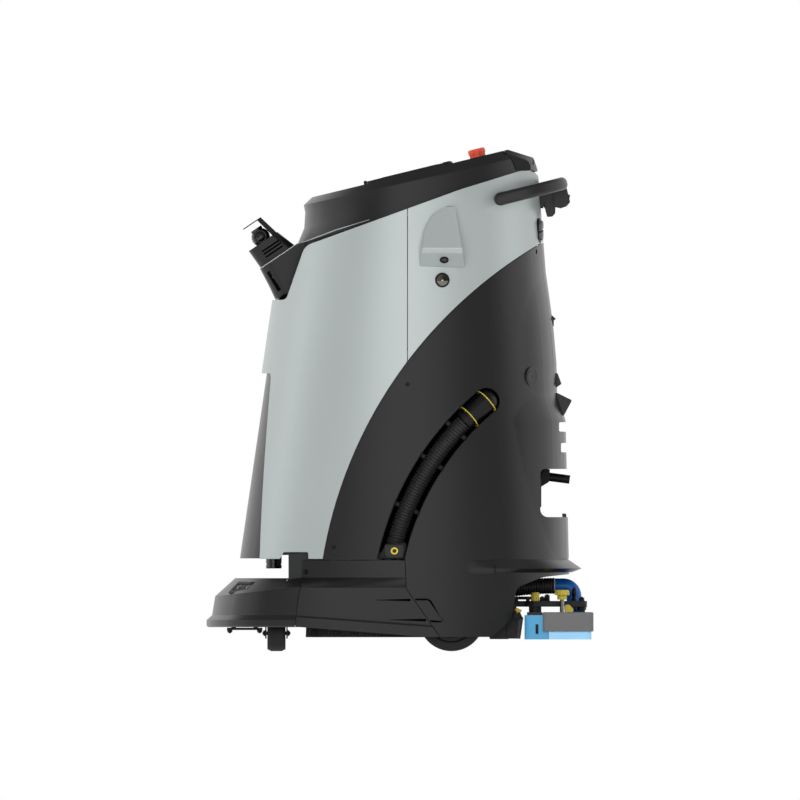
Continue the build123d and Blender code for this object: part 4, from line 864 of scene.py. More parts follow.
@dataclass(frozen=True)
class Hoses:
    """Ribbed drain hose in its slot and the short suction hose at the tail."""

    drain_arc: tuple = ((-179.9, 520.4), (-49.9, 367.7), (19.1, 191.4))
    drain_y: float = 224.0
    drain_span: tuple = (0.165, 0.985)
    drain_ribs: tuple = (19.0, 2.6, 6.4)
    suction_line: tuple = ((-216.0, 127.0), (-268.9, 133.8), (-321.8, 136.0))
    suction_ribs: tuple = (17.0, 1.3, 5.6)
    wall: float = 2.0
    crest: float = 0.6
    steps: int = 8
    sides: int = 40
    sharp_deg: float = 60.0

    def drain_line(self, start: float, end: float, count: int = 60) -> list[Vector]:
        """Part of the drain hose's centre line, from the top at 0 to the foot at 1."""
        fine = 1000
        whole = arc_through(*[mm(x, self.drain_y, z) for x, z in self.drain_arc], fine + 1)
        return [whole[round(fine * part)] for part in spread(start, end, count)]

    def ribbed(self, line: Sequence[Vector], radius: float, depth: float, pitch: float) -> Form:
        """Bellows hose with its bore, along a smooth line.

        Args:
            line: Close points of the centre line, in metres.
            radius: Outer radius, in millimetres.
            depth: Depth of the grooves between the ribs, in millimetres.
            pitch: Spacing of the ribs, in millimetres.

        Returns:
            The hose.
        """
        spans = [0.0]
        for a, b in zip(line, line[1:]):
            spans.append(spans[-1] + (b - a).length)
        last = max(1, round(spans[-1] / (pitch * MM))) * self.steps
        turns = [2 * math.pi * k / self.sides for k in range(self.sides)]
        bore = (radius - depth - self.wall) * MM
        rings, inner = [], []
        for n in range(last + 1):
            gone = spans[-1] * n / last
            i = max(1, next((k for k, span in enumerate(spans) if span >= gone - 1e-9), len(spans) - 1))
            spot = line[i - 1].lerp(line[i], (gone - spans[i - 1]) / (spans[i] - spans[i - 1]))
            ahead = (line[min(i + 1, len(line) - 1)] - line[max(i - 2, 0)]).normalized()
            side = (Vector(LEFT) - ahead * ahead.y).normalized()
            up = ahead.cross(side)
            wave = max(0.0, math.sin(2 * math.pi * n / self.steps - math.pi / 2) * 0.5 + 0.5) ** self.crest
            size = (radius - depth * (1 - wave)) * MM
            rings.append([spot + side * size * math.cos(t) + up * size * math.sin(t) for t in turns])
            if n % self.steps == 0:
                inner.append([spot + side * bore * math.cos(t) + up * bore * math.sin(t) for t in turns])
        return rings_to_form(rings + inner[::-1], closed=True)

    def build(self) -> None:
        """Makes both hoses in place of their plain solids."""
        drain = self.ribbed(self.drain_line(*self.drain_span), *self.drain_ribs)
        add_piece("ribbed_drain_hose", drain, HOSE_RUBBER, replaces=["drain_hose"], sharp_deg=self.sharp_deg)
        line = arc_through(*[mm(x, 0, z) for x, z in self.suction_line], 40)
        suction = self.ribbed(line, *self.suction_ribs)
        hose = make_object("ribbed_suction_hose", suction, HOSE_RUBBER, self.sharp_deg)
        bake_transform(hose)
        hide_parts("vacuum_hose")


@dataclass(frozen=True)
class DiscBrush:
    """One disc brush: a ribbed backing with tufts of fine bristles."""

    side: str
    sign: int
    x: float = 70.0
    y: float = 128.0
    foot: float = 29.0
    back: float = 62.0
    backing: Turned = Turned((
        (AXIS, 70), (29, 70), (30, 62), (125, 62), (127, 64), (127, 73), (125, 76), (112, 76), (110, 73),
        (60, 73), (58, 76), (14, 76), (8, 78), (8, 101), (7, 102), (AXIS, 102)), 96)
    rings: tuple = ((122.0, 108), (111.0, 92), (99.0, 80), (84.0, 60), (64.0, 40), (44.0, 26))
    tuft: float = 2.6
    strands: int = 14
    strand: float = 0.55
    tip_share: float = 0.8
    turn_step: float = 2.4
    splay_out: tuple = (-0.7, 1.4)
    splay_round: tuple = (-1.0, 1.0)
    uneven: tuple = (0, 0.8)
    root: float = 0.5
    seed: int = 7

    def bristles(self) -> Form:
        """Tufts of square strands that splay a little towards the floor."""
        draw = random.Random(self.seed + self.sign)
        form = bmesh.new()
        for ring, count in self.rings:
            for i in range(count):
                turn = 2 * math.pi * i / count
                for k in range(self.strands):
                    angle = self.turn_step * k
                    reach = self.tuft * math.sqrt((k + 0.5) / self.strands)
                    root = Vector((ring + reach * math.cos(angle), reach * math.sin(angle),
                                   self.back + self.root))
                    splay = Vector((draw.uniform(*self.splay_out), draw.uniform(*self.splay_round), 0))
                    drop = self.foot - self.back - self.root + draw.uniform(*self.uneven)
                    self.strand_into(form, root, root + splay + Vector((0, 0, drop)), turn)
        form.transform(shift(self.x, self.sign * self.y, 0))
        return form

    def strand_into(self, form: Form, root: Vector, tip: Vector, turn: float) -> None:
        """Adds one strand between two points of a tuft, turned about the brush's axis."""
        spin = Matrix.Rotation(turn, 3, "Z")
        corners = []
        for end, size in ((root, self.strand), (tip, self.strand * self.tip_share)):
            corners.append([form.verts.new(spin @ (end + Vector((dx, dy, 0)) * size) * MM)
                            for dx, dy in ((-1, -1), (1, -1), (1, 1), (-1, 1))])
        high, low = corners
        for i in range(4):
            form.faces.new((low[i], low[(i + 1) % 4], high[(i + 1) % 4], high[i]))
        form.faces.new(low[::-1])
        form.faces.new(high)

    def build(self) -> None:
        """Makes the brush in place of its plain solid."""
        body = Body(f"{self.side}_disc")
        disc = self.backing.at(shift(self.x, self.sign * self.y, 0))
        add_piece(f"{self.side}_brush_backing", disc, BLACK_ABS, body, [f"{self.side}_brush"])
        add_piece(f"{self.side}_brush_bristles", self.bristles(), NYLON, body)


@dataclass(frozen=True)
class Gaskets:
    """Rubber strips behind the open seams of the casing."""

    half_width: float = 6.0
    depth: float = 4.9
    thick: float = 1.6
    console_seam: tuple = ((-207.0, 1044.0), (-230.0, 1026.0), (-243.0, 997.0), (-243.0, 990.0))
    skirt_seam: tuple = ((-11.4, 186.0), (-13.5, 130.0), (-82.0, 34.0))
    bumper_seam: tuple = ((205.0, 144.0), (213.0, 105.0), (219.0, 54.0))
    cover_arc: tuple = ((-296.4, 850.1), (-55.7, 651.9), (160.6, 189.7))
    shell_seam: tuple = ((-15.6, 905.0), (-15.6, 625.0))
    seals: tuple = (("deck", (-219.7, 1037.0), (0.685, 0.0, 0.728), Tablet(8.0, 1.6, 0.4, 340.0, 0.3)),
                    ("arch", (-289.5, 847.0), (1, 0, 0), Tablet(8.0, 6.0, 1.0, 52.0, 0.3)))
    liner_run: tuple = (202.0, 40.0)
    liner_foot: tuple = (213.0, 846.0, 0.305)
    liner_lap: float = 3.0
    liner_section: tuple = ((1.4, 0.0), (1.4, 32.0), (3.2, 32.0), (3.2, 0.0))

    def liner(self, sign: int) -> Form:
        """Dark wall that hangs from the deck's foot behind the top edge of the front shell."""
        deck = Surface("top_deck")
        front, high, slope = self.liner_foot
        rings = []
        for x in spread(*self.liner_run, 55):
            found = deck.side_spot(x, high + (front - x) * slope + self.liner_lap, sign)
            if found is not None:
                spot, out = found
                rings.append([spot - out * inset * MM - mm(0, 0, drop) for inset, drop in self.liner_section])
        return rings_to_form(rings)

    def build(self) -> None:
        """Lays the strips behind the seams on both sides."""
        arc = arc_through(*[Vector((x, 0, z)) for x, z in self.cover_arc], 90)
        for side, sign in SIDES:
            for name, line, nodes in (
                    ("console", self.console_seam, ("top_deck", "console")),
                    ("cover", [(spot.x, spot.z) for spot in arc],
                     (f"{side}_side_cover", "rear_shell", "front_shell")),
                    ("shell", self.shell_seam, ("rear_shell", "front_shell")),
                    ("skirt", self.skirt_seam, (f"{side}_side_cover", f"{side}_skirt")),
                    ("bumper", self.bumper_seam, ("front_bumper", f"{side}_skirt"))):
                path = [(x, z, self.half_width) for x, z in line]
                form = ribbon(Surface(*nodes), path, sign, self.depth, self.thick)
                add_piece(f"{side}_{name}_gasket", form, FLAP_RUBBER)
            add_piece(f"{side}_deck_liner", self.liner(sign), FLAP_RUBBER)
        for name, (x, z), way, strip in self.seals:
            form = strip.at(axes_at(mm(x, -strip.thick / 2, z), LEFT, way))
            add_piece(f"{name}_seal", form, FLAP_RUBBER)


@dataclass(frozen=True)
class CoverFittings:
    """Screws, slots, grooves and caps on the side covers, skirts and shells."""

    screws: tuple = ((-15.6, 555.0), (138.0, 216.0))
    screw: Turned = Turned(((AXIS, 0.48), (1.848, 0.48), (1.98, 1.6), (3.52, 1.6), (4.224, 0.96),
                            (4.4, 0.0), (4.4, -1.0), (AXIS, -1.0)), 28)
    cap_at: tuple = (-273.5, 571.0)
    cap: Turned = Turned(((AXIS, -0.4), (3, -0.4), (4, 0.5), (13.5, 0.5), (14.5, -0.3), (15.5, 0.4),
                          (16.5, -0.8), (AXIS, -2)))
    vent_at: tuple = (-284.0, 831.0)
    vent: Tablet = Tablet(10, 4.2, 2.0, 0.7, 0.2)
    groove_skin: tuple = (-0.12, 0.6)
    grooves: tuple = (((51.0, 106.4, 0.4), (-30.0, 106.4, 2.9)), ((22.0, 65.4, 0.4), (-54.0, 64.6, 2.9)))
    loop: tuple = ((-32.0, 107.4), (-57.0, 107.4), (-62.5, 104.8), (-87.2, 68.8), (-88.8, 64.0),
                   (-85.4, 60.8), (-63.0, 63.2))
    loop_half: float = 1.9
    bolt_at: tuple = (196.5, 165.0)
    bolt: Nut = Nut(8, 4)
    flange: tuple = ((190.5, -0.2), (188.0, 1.1), (184.0, 2.4), (180.0, 3.4), (176.0, 4.4), (172.0, 5.3),
                     (170.5, 4.9), (168.0, 4.0), (164.0, 2.3), (161.0, -0.2))
    flange_run: tuple = (-132.0, -197.6)
    flange_sink: float = 0.25
    flange_root: float = 0.8
    slot_half: float = 27.0
    slot_skin: tuple = (-0.2, 0.6)
    slot_top: tuple = (0.995, 0.97, 0.92, 0.84, 0.73, 0.59, 0.43, 0.25)
    gusset: Plate = Plate(((158.0, 200.0), (208.0, 200.0), (208.0, 142.0), (194.0, 142.0), (194.0, 182.0),
                           (158.0, 182.0)), 3, 0.4)
    gusset_y: float = 226.0

    def fairing(self, side: str, sign: int) -> Form:
        """Taper that runs the tail flange out into one side cover."""
        columns = []
        count = 25
        for x, part in zip(spread(*self.flange_run, count), spread(0, 1, count)):
            rise = part * part * (3 - 2 * part)
            sink = self.flange_sink * (1 - rise)
            columns.append((x, [(z, proud * rise - sink) for z, proud in self.flange]))
        return skin_patch(Surface(f"{side}_side_cover"), columns, sign, self.flange_root)

    def painted_slot_shadow(self) -> Form:
        """Painted shadow: a black strip on the floor of the hose slot, up into its round top."""
        line = Hoses().drain_line(0.0, 1.0, 24)
        beyond = (line[0] - line[1]).normalized()
        path = []
        for part in self.slot_top:
            spot = line[0] + beyond * part * self.slot_half * MM
            path.append((spot.x / MM, spot.z / MM, self.slot_half * math.sqrt(1 - part * part)))
        path += [(spot.x / MM, spot.z / MM, self.slot_half) for spot in line]
        return ribbon(Surface("left_side_cover"), path, 1, *self.slot_skin)

    def build(self) -> None:
        """Sets the fittings on both sides."""
        # Painted shadow on the floor of the hose slot, beside the hose
        add_piece("hose_slot_painted_shadow", self.painted_slot_shadow(), SHADE_BLACK)
        for side, sign in SIDES:
            skin = Surface(f"{side}_side_cover", "rear_shell", "front_shell")
            skirt = Surface(f"{side}_skirt")
            screws = [self.screw.at(skin.side_frame(*spot, sign)) for spot in self.screws]
            add_piece(f"{side}_cover_screws", join(*screws), BLACK_OXIDE)
            add_piece(f"{side}_round_cap", self.cap.at(skin.side_frame(*self.cap_at, sign)), DARK_ABS)
            # Painted shade: a flat black patch on the shell stands in for the shade inside the vent slot
            vent = self.vent.at(skin.side_frame(*self.vent_at, sign))
            add_piece(f"{side}_vent_slot", vent, SHADE_BLACK)
            # Painted shade: black strips a hair proud of the skirt and the side cover stand in for the shade
            # in their grooves
            wedges = [ribbon(skirt, path, sign, *self.groove_skin) for path in self.grooves]
            add_piece(f"{side}_skirt_grooves", join(*wedges), SHADE_BLACK)
            line = [(x, z, self.loop_half) for x, z in self.loop]
            loop = ribbon(Surface(f"{side}_side_cover"), line, sign, *self.groove_skin)
            add_piece(f"{side}_cover_groove", loop, SHADE_BLACK)
            add_piece(f"{side}_flange_fairing", self.fairing(side, sign), DARK_ABS)
            add_piece(f"{side}_post_gusset", self.gusset.at(sign * self.gusset_y), POWDER_COAT)
            inner = Surface(f"{side}_skirt", "chassis_frame", "body_cage")
            add_piece(f"{side}_post_bolt", self.bolt.at(inner.side_frame(*self.bolt_at, sign)), BLACK_OXIDE)


@dataclass(frozen=True)
class Turret:
    """Sensor turret on the nose: rim, vents, windows and scanner bands, in its own tilted frame."""

    origin: tuple = (255.9, 0.0, 819.9)
    tilt: float = 34.0
    rim_half: float = 88.7
    rim_front: float = 43.8
    rim_corner: float = 30.0
    rim_rear: float = -50.0
    rim_width: float = 3.0
    rim_section: tuple = ((0, -1.3), (0, -0.2), (0.2, 0.3), (1, 0.3), (1, -1.3))
    seam_run: tuple = (-33.0, -9.3)
    vents: tuple = (12.6, 20.0, 26.5)
    vent_at: tuple = (-2.0, 41.1)
    vent: Tablet = Tablet(42.4, 2.9, 1.2, 0.8, 0.2)
    window_at: tuple = (30.6, 72.8, -38.0)
    window_way: tuple = (0.766, 0.643)
    window: Tablet = Tablet(44, 8.4, 3, 2.0, 0.8)
    lens_at: tuple = (8, 0, 1.6)
    lens: Turned = Turned(((AXIS, 1.7), (1.6, 1.5), (2.8, 0.7), (3.2, 0.9), (3.7, 0.6), (3.9, 0),
                           (AXIS, 0)), 32)
    dome: tuple = (5.0, 0.0, 55.0)
    ear: Turned = Turned(((AXIS, 13.6), (8.2, 13.6), (9.4, 16.4), (10.6, 17.8), (13.0, 17.8), (14.2, 16.6),
                          (14.4, 8.0), (AXIS, 8.0)), 56)

    def place(self) -> Matrix:
        """Frame of the turret: X forward and down along its rim, Z along its axis."""
        return shift(*self.origin) @ Matrix.Rotation(math.radians(self.tilt), 4, "Y")

    def rim(self) -> Form:
        """Thin bright edging round the foot of the head, with its bent rear runs."""
        middle, side = self.rim_front - self.rim_corner, self.rim_half - self.rim_corner
        run, drop = self.seam_run
        line = []
        for sign, start in ((-1, -90), (1, 0)):
            for turn in spread(math.radians(start), math.radians(start + 90), 9):
                line.append(Vector((middle + self.rim_corner * math.cos(turn),
                                    sign * side + self.rim_corner * math.sin(turn), 0)))
        across = Vector((0, self.rim_half, 0))
        for spot in (Vector((self.rim_rear, 0, 0)), Vector((self.rim_rear + run, 0, drop))):
            line = [spot - across] + line + [spot + across]
        rings = []
        for i, spot in enumerate(line):
            ahead = (line[min(i + 1, len(line) - 1)] - line[max(i - 1, 0)]).normalized()
            inward = Vector((-ahead.y, ahead.x, 0)) * self.rim_width
            rings.append([self.place() @ ((spot + inward * part + Vector((0, 0, height))) * MM)
                          for part, height in self.rim_section])
        return rings_to_form(rings)

    def side_frame(self, x: float, y: float, z: float, sign: int) -> Matrix:
        """Frame at a point of the turret that faces sideways, with its X axis forward along the rim."""
        turn = self.place()
        return axes_at(turn @ mm(x, sign * y, z), (0, sign, 0), turn.to_3x3() @ Vector((1, 0, 0)))

    def build(self) -> None:
        """Makes the rim, the painted shade in the vents, corner windows and scanner bands."""
        add_piece("turret_rim", self.rim(), GREY_PAINT)
        turn = self.place().to_3x3()
        for side, sign in SIDES:
            # Painted shade: flat black tablets at the backs of the head's vent slots stand in for the shade
            # inside them
            vent_shades = [self.vent.at(self.side_frame(*self.vent_at, level, sign)) for level in self.vents]
            add_piece(f"{side}_turret_vents", join(*vent_shades), SHADE_BLACK)
            x, y, z = self.window_at
            ahead, aside = self.window_way
            eye = axes_at(self.place() @ mm(x, sign * y, z), turn @ Vector((ahead, sign * aside, 0)),
                          turn @ Vector(UP))
            add_piece(f"{side}_turret_window", self.window.at(eye), IR_WINDOW)
            add_piece(f"{side}_turret_lens", self.lens.at(eye @ shift(*self.lens_at)), LENS_GLASS)
        ears = [self.ear.at(self.side_frame(*self.dome, sign)) for sign in (-1, 1)]
        add_piece("turret_dome_ears", join(*ears), DECK_ABS)


@dataclass(frozen=True)
class SideEyes:
    """Side cameras in the fairings and range sensors in the rear shell."""

    camera: tuple = (-92.0, 269.6, 813.0)
    camera_way: tuple = (0.66, -0.751)
    bezel: Turned = Turned(((AXIS, 0.2), (6.2, 0.2), (6.6, 0.9), (8.6, 0.9), (9.3, 0.2), (9.3, -4),
                            (AXIS, -4)))
    lens: Turned = Turned(((AXIS, 1.4), (2.2, 1.25), (4.4, 0.8), (6.0, 0.25), (AXIS, 0.1)), 40)
    sensor: tuple = (-88.0, 772.0)
    ring: Turned = Turned(((11.8, 0.4), (15.2, -1.0), (15.4, 0.6), (14.9, 2.4), (13.9, 2.9), (12.4, 2.6),
                           (11.8, 2.0)), 56, True)
    glass_radius: float = 12.0
    window: tuple = (-1.6, 90, 1.8, 0.2)
    reflector: tuple = (-90, -1.7, 2.0, 0.3)
    lamp_at: tuple = (-0.6, 0, 1.7)
    lamp: Turned = Turned(((AXIS, 1.6), (0.9, 1.4), (1.7, 0.7), (2.0, 0), (AXIS, 0)), 24)

    def half_disc(self, place: Matrix, low: float, high: float, thick: float, edge: float) -> Form:
        """Part of the sensor's disc between two heights.

        Args:
            place: Frame of the disc, with its X axis up.
            low: Lower height, in millimetres from the middle.
            high: Upper height.
            thick: Thickness, in millimetres.
            edge: Width of the bevel, in millimetres.

        Returns:
            The part.
        """
        points = []
        for turn in spread(-math.pi / 2, math.pi / 2, 41):
            x = max(low, min(high, self.glass_radius * math.sin(turn)))
            points.append((x, math.sqrt(max(self.glass_radius ** 2 - x ** 2, 0.01))))
        return slab(points + [(x, -y) for x, y in reversed(points)], thick, place, edge)

    def build(self) -> None:
        """Makes the eyes on both sides."""
        shell = Surface("side_sensors")
        for side, sign in SIDES:
            x, y, z = self.camera
            aside, rise = self.camera_way
            eye = axes_at(mm(x, sign * y, z), (0, sign * aside, rise), UP)
            spot = shell.side_frame(*self.sensor, sign)
            add_piece(f"{side}_camera_bezel", self.bezel.at(eye), BLACK_ABS)
            add_piece(f"{side}_camera_lens", self.lens.at(eye), LENS_GLASS)
            add_piece(f"{side}_range_ring", self.ring.at(spot), BLACK_ABS)
            add_piece(f"{side}_range_window", self.half_disc(spot, *self.window), IR_WINDOW)
            add_piece(f"{side}_range_reflector", self.half_disc(spot, *self.reflector), HOOD_NYLON)
            add_piece(f"{side}_range_lamp", self.lamp.at(spot @ shift(*self.lamp_at)), MARK_YELLOW)


@dataclass(frozen=True)
class DrainFittings:
    """Plug, retaining rings, clips and cradle of the drain hose."""

    hoses: Hoses = Hoses()
    sleeve: float = 23.6
    ring_radius: float = 26.2
    ring_tube: float = 1.35
    ring_tilt: float = 11.0
    ring_half_deg: float = 116.0
    ring_place: float = 0.125
    clips: tuple = (0.225, 0.435, 0.715)
    clip_reach: float = 0.01
    tab: Tablet = Tablet(9, 11, 2, 2.6, 0.7)
    tab_at: tuple = (22.5, 14.0)
    leg: Tablet = Tablet(9, 3, 0.8, 23.5, 0.4)
    leg_at: tuple = (27.2, -8.0)
    plate: Plate = Plate(((32.0, 222.0), (-8.0, 222.0), (-8.5, 209.0), (-5.0, 193.6), (28.5, 193.6),
                          (33.0, 209.0)), 2.4, 0.8)
    plate_y: float = 263.3
    mark_at: tuple = (11.6, 264.4, 208.6)
    mark: Turned = Turned(((4.2, 0), (7.6, 0), (7.6, 0.4), (7.3, 0.6), (4.5, 0.6), (4.2, 0.4)), 48, True)

    def plug_frame(self) -> tuple[Matrix, float]:
        """Frame at the lower ring with Z up the plug, and the distance to the upper ring."""
        foot, _, top = self.hoses.drain_line(self.ring_place, 0.0, 3)
        return axes_at(foot, top - foot, LEFT), (top - foot).length / MM

    def open_ring(self, place: Matrix) -> Form:
        """Round wire bent to an open ring about a frame's Z axis, with tapered ends."""
        count, sides = 64, 12
        rings = []
        for i, degrees in enumerate(spread(-self.ring_half_deg, self.ring_half_deg, count)):
            turn = math.radians(degrees)
            out = Vector((math.cos(turn), math.sin(turn), 0))
            size = self.ring_tube * min(1.0, 0.55 + 0.45 * min(i, count - 1 - i))
            rings.append([place @ ((out * (self.ring_radius + size * math.cos(a))
                                    + Vector((0, 0, size * math.sin(a)))) * MM)
                          for a in (2 * math.pi * k / sides for k in range(sides))])
        return rings_to_form(rings)

    def clip_forms(self) -> list[Form]:
        """Tabs and legs of the clips that hold the hose on both sides."""
        forms = []
        for part in self.clips:
            before, middle, after = self.hoses.drain_line(part - self.clip_reach, part + self.clip_reach, 3)
            along = (after - before).normalized()
            across = along.cross(Vector(LEFT))
            for shape, (aside, rise) in ((self.tab, self.tab_at), (self.leg, self.leg_at)):
                for sign in (-1, 1):
                    spot = middle + across * sign * aside * MM + mm(0, rise, 0)
                    forms.append(shape.at(axes_at(spot, LEFT, along)))
        return forms

    def build(self) -> None:
        """Makes the plug's sleeve and rings, the clips and the marked cradle plate."""
        place, gap = self.plug_frame()
        size = self.sleeve
        sleeve = lathe([(AXIS, -15), (size - 2, -15), (size, -13), (size, -3), (size - 1, -2),
                        (size - 1, gap - 3), (size, gap - 2), (size, gap + 3), (size - 2, gap + 9),
                        (size - 7, gap + 16), (size - 15, gap + 20), (AXIS, gap + 21)], place, 56)
        add_piece("drain_plug_sleeve", sleeve, BLACK_ABS, replaces=["drain_plug"])
        lean = Matrix.Rotation(math.radians(self.ring_tilt), 4, "Y").inverted()
        for name, height in (("lower", 0.0), ("upper", gap)):
            add_piece(f"drain_{name}_ring", self.open_ring(place @ shift(0, 0, height) @ lean), KNOB_YELLOW)
        add_piece("drain_hose_clips", join(*self.clip_forms()), BLACK_ABS)
        add_piece("drain_cradle_plate", self.plate.at(self.plate_y), DARK_ABS)
        add_piece("drain_cradle_mark", self.mark.at(axes_at(mm(*self.mark_at), LEFT, UP)), MARK_YELLOW)


@dataclass(frozen=True)
class NoseFittings:
    """Sensor windows in the bumper pockets and the under-tray's bolts."""

    pocket: tuple = (329.0, 178.0, 138.0)
    pocket_run: tuple = (-0.62, 0.785)
    pocket_out: tuple = (0.5, 0.4, 0.77)
    pocket_depth: float = 8.6
    window: Tablet = Tablet(51.0, 19.0, 3, 2.2, 0.6)
    eye: Turned = Turned(((AXIS, 1.2), (2.4, 1.0), (4.4, 0.3), (5.2, 0.5), (5.8, 0), (AXIS, -0.2)), 32)
    eyes_at: tuple = ((-15, 0, 2.0), (15, 0, 2.0))
    tray_bolts: tuple = (292.0, 354.0)
    bolt: Nut = Nut(9, 4)
    tray_half: float = 84.0
    tray_z: float = 44.0

    def build(self) -> None:
        """Makes the nose's windows and bolts."""
        for side, sign in SIDES:
            x, y, z = self.pocket
            out = (self.pocket_out[0], sign * self.pocket_out[1], self.pocket_out[2])
            ahead = (self.pocket_run[0], sign * self.pocket_run[1], 0)
            floor = axes_at(mm(x, sign * y, z), out, ahead) @ shift(0, 0, -self.pocket_depth)
            add_piece(f"{side}_bumper_window", self.window.at(floor), BLACK_ABS)
            eyes = [self.eye.at(floor @ shift(*spot)) for spot in self.eyes_at]
            add_piece(f"{side}_bumper_eyes", join(*eyes), LENS_GLASS)
            bolts = [self.bolt.at(axes_at(mm(along, sign * self.tray_half, self.tray_z), (0, 0, -1)))
                     for along in self.tray_bolts]
            add_piece(f"{side}_tray_bolts", join(*bolts), BLACK_OXIDE)


@dataclass(frozen=True)
class SqueegeeFittings:
    """Fasteners, link rods and small trim of the squeegee."""

    carrier_top: float = 104.6
    carrier_foot: float = 92.4
    hood_top: float = 81.3
    hood_side: float = 295.35
    slot_side: float = 282.3
    rod: tuple = (-236.0, -272.0, 58.0, 110.6)
    rod_radius: float = 3.3
    rod_edge: float = 0.5
    saddle: Tablet = Tablet(8, 12, 2, 9.4, 1.0)
    saddle_gap: float = 6.0
    studs: tuple = ((-296.0, 95.0, 7.0), (-306.0, 88.0, 11.0), (-378.0, 98.0, 6.0))
    stud_across: float = 9.5
    end_nut: Nut = Nut(16, 6)
    pin: Turned = Turned(((AXIS, 0), (5.2, 0), (5.2, 5), (3.4, 6.5), (3.4, 9), (5.0, 12), (5.3, 17),
                          (4.6, 24), (2.6, 27.5), (AXIS, 28)), 10)
    pin_at: tuple = (-362.5, 62.0)
    knob_at: tuple = (-337.0, 138.0)
    thread: tuple = (4.4, 4.75, 0.99, 26)
    thread_start: float = 0.4
    stem_ends: tuple = (0.2, 25.6)
    seams: tuple = ((-314.6, 65.7, Tablet(29.4, 2.0, 0.8, 0.6, steps=2)),
                    (-329.8, 61.5, Tablet(39.0, 1.0, 0.4, 0.6, steps=2)))
    slot_at: tuple = (-285.0, 46.0)
    slot_back: Tablet = Tablet(26, 11, 3, 0.8, 0.2)

    def link_rod(self, sign: int) -> Form:
        """Round rod with broken edges, in the two saddles that carry it."""
        low, high, y, z = self.rod
        length, radius, edge = low - high, self.rod_radius, self.rod_edge
        profile = [(AXIS, 0), (radius - edge, 0), (radius, edge), (radius, length - edge),
                   (radius - edge, length), (AXIS, length)]
        rod = lathe(profile, axes_at(mm(low, sign * y, z), (-1, 0, 0)), 24)
        saddles = [self.saddle.at(axes_at(mm(x, sign * y, self.carrier_top), UP))
                   for x in (low - self.saddle_gap, high + self.saddle_gap)]
        return join(rod, *saddles)

    def knob_stem(self, sign: int) -> Form:
        """Threaded stem of a pitch knob, from the hood up."""
        root, crest, step, count = self.thread
        turns = [(crest if i % 2 else root, self.thread_start + i * step) for i in range(count)]
        foot, top = self.stem_ends
        x, y = self.knob_at
        return lathe([(AXIS, foot), *turns, (AXIS, top)], axes_at(mm(x, sign * y, self.hood_top), UP), 28)

    def build(self) -> None:
        """Makes the fittings on both sides of the squeegee."""
        for side, sign in SIDES:
            add_piece(f"{side}_link_rod", self.link_rod(sign), POWDER_COAT, Body.SQUEEGEE)
            nuts = [Nut(self.stud_across, height).at(axes_at(mm(x, sign * y, self.carrier_top), UP))
                    for x, y, height in self.studs]
            x, y, _ = self.studs[-1]
            nuts.append(self.end_nut.at(axes_at(mm(x, sign * y, self.carrier_foot), (0, 0, -1))))
            add_piece(f"{side}_carrier_nuts", join(*nuts), BLACK_OXIDE, Body.SQUEEGEE)
            x, y = self.pin_at
            pin = self.pin.at(axes_at(mm(x, sign * y, self.carrier_top), UP))
            add_piece(f"{side}_lock_pin", pin, BLACK_ABS, Body.SQUEEGEE)
            add_piece(f"{side}_knob_stem", self.knob_stem(sign), ZINC, Body(f"{side}_knob"))
            # Painted shade: thin black strips on the hood's side stand in for the shade in the joints between
            # its parts
            lines = [line.at(axes_at(mm(x, sign * self.hood_side, z), (0, sign, 0), UP))
                     for x, z, line in self.seams]
            add_piece(f"{side}_hood_joints", join(*lines), SHADE_BLACK, Body.SQUEEGEE)
            x, z = self.slot_at
            back = self.slot_back.at(axes_at(mm(x, sign * self.slot_side, z), (0, sign, 0), UP))
            add_piece(f"{side}_blade_slot_back", back, FLAP_RUBBER, Body.SQUEEGEE)


@dataclass(frozen=True)
class FlapClamps:
    """Clamp blocks and yellow hand screws that hold the splash guards."""

    y: float = 200.0
    block: Plate = Plate(((-231.0, 68.0), (-250.0, 66.0), (-254.5, 71.0), (-251.0, 79.0), (-233.0, 80.0)),
                         18, 1.2)
    lip: Plate = Plate(((-222.0, 76.0), (-249.0, 76.0), (-256.2, 70.0), (-250.0, 26.0), (-222.0, 26.0)),
                       10, 0.6)
    lip_edge: Plate = Plate(((-247.6, 73.0), (-256.6, 69.4), (-250.4, 25.8), (-242.4, 25.8)), 12, 1.0)
    screw_at: tuple = (-243.5, 79.0)
    screw: Turned = Turned(((AXIS, -2), (3.4, -2), (3.4, 2), (6.2, 3), (7.2, 5), (7.2, 8.5), (6.2, 10),
                            (AXIS, 10.4)), 10)
    lean: float = -18.0

    def build(self) -> None:
        """Makes a clamp on each guard."""
        lean = math.radians(self.lean)
        x, z = self.screw_at
        for side, sign in SIDES:
            y = sign * self.y
            add_piece(f"{side}_flap_clamp", self.block.at(y), BLACK_ABS)
            add_piece(f"{side}_flap_lip", self.lip.at(y), FLAP_RUBBER)
            add_piece(f"{side}_flap_edge", self.lip_edge.at(y), HOSE_RUBBER)
            place = axes_at(mm(x, y, z), (math.sin(lean), 0, math.cos(lean)))
            add_piece(f"{side}_flap_screw", self.screw.at(place), KNOB_YELLOW)


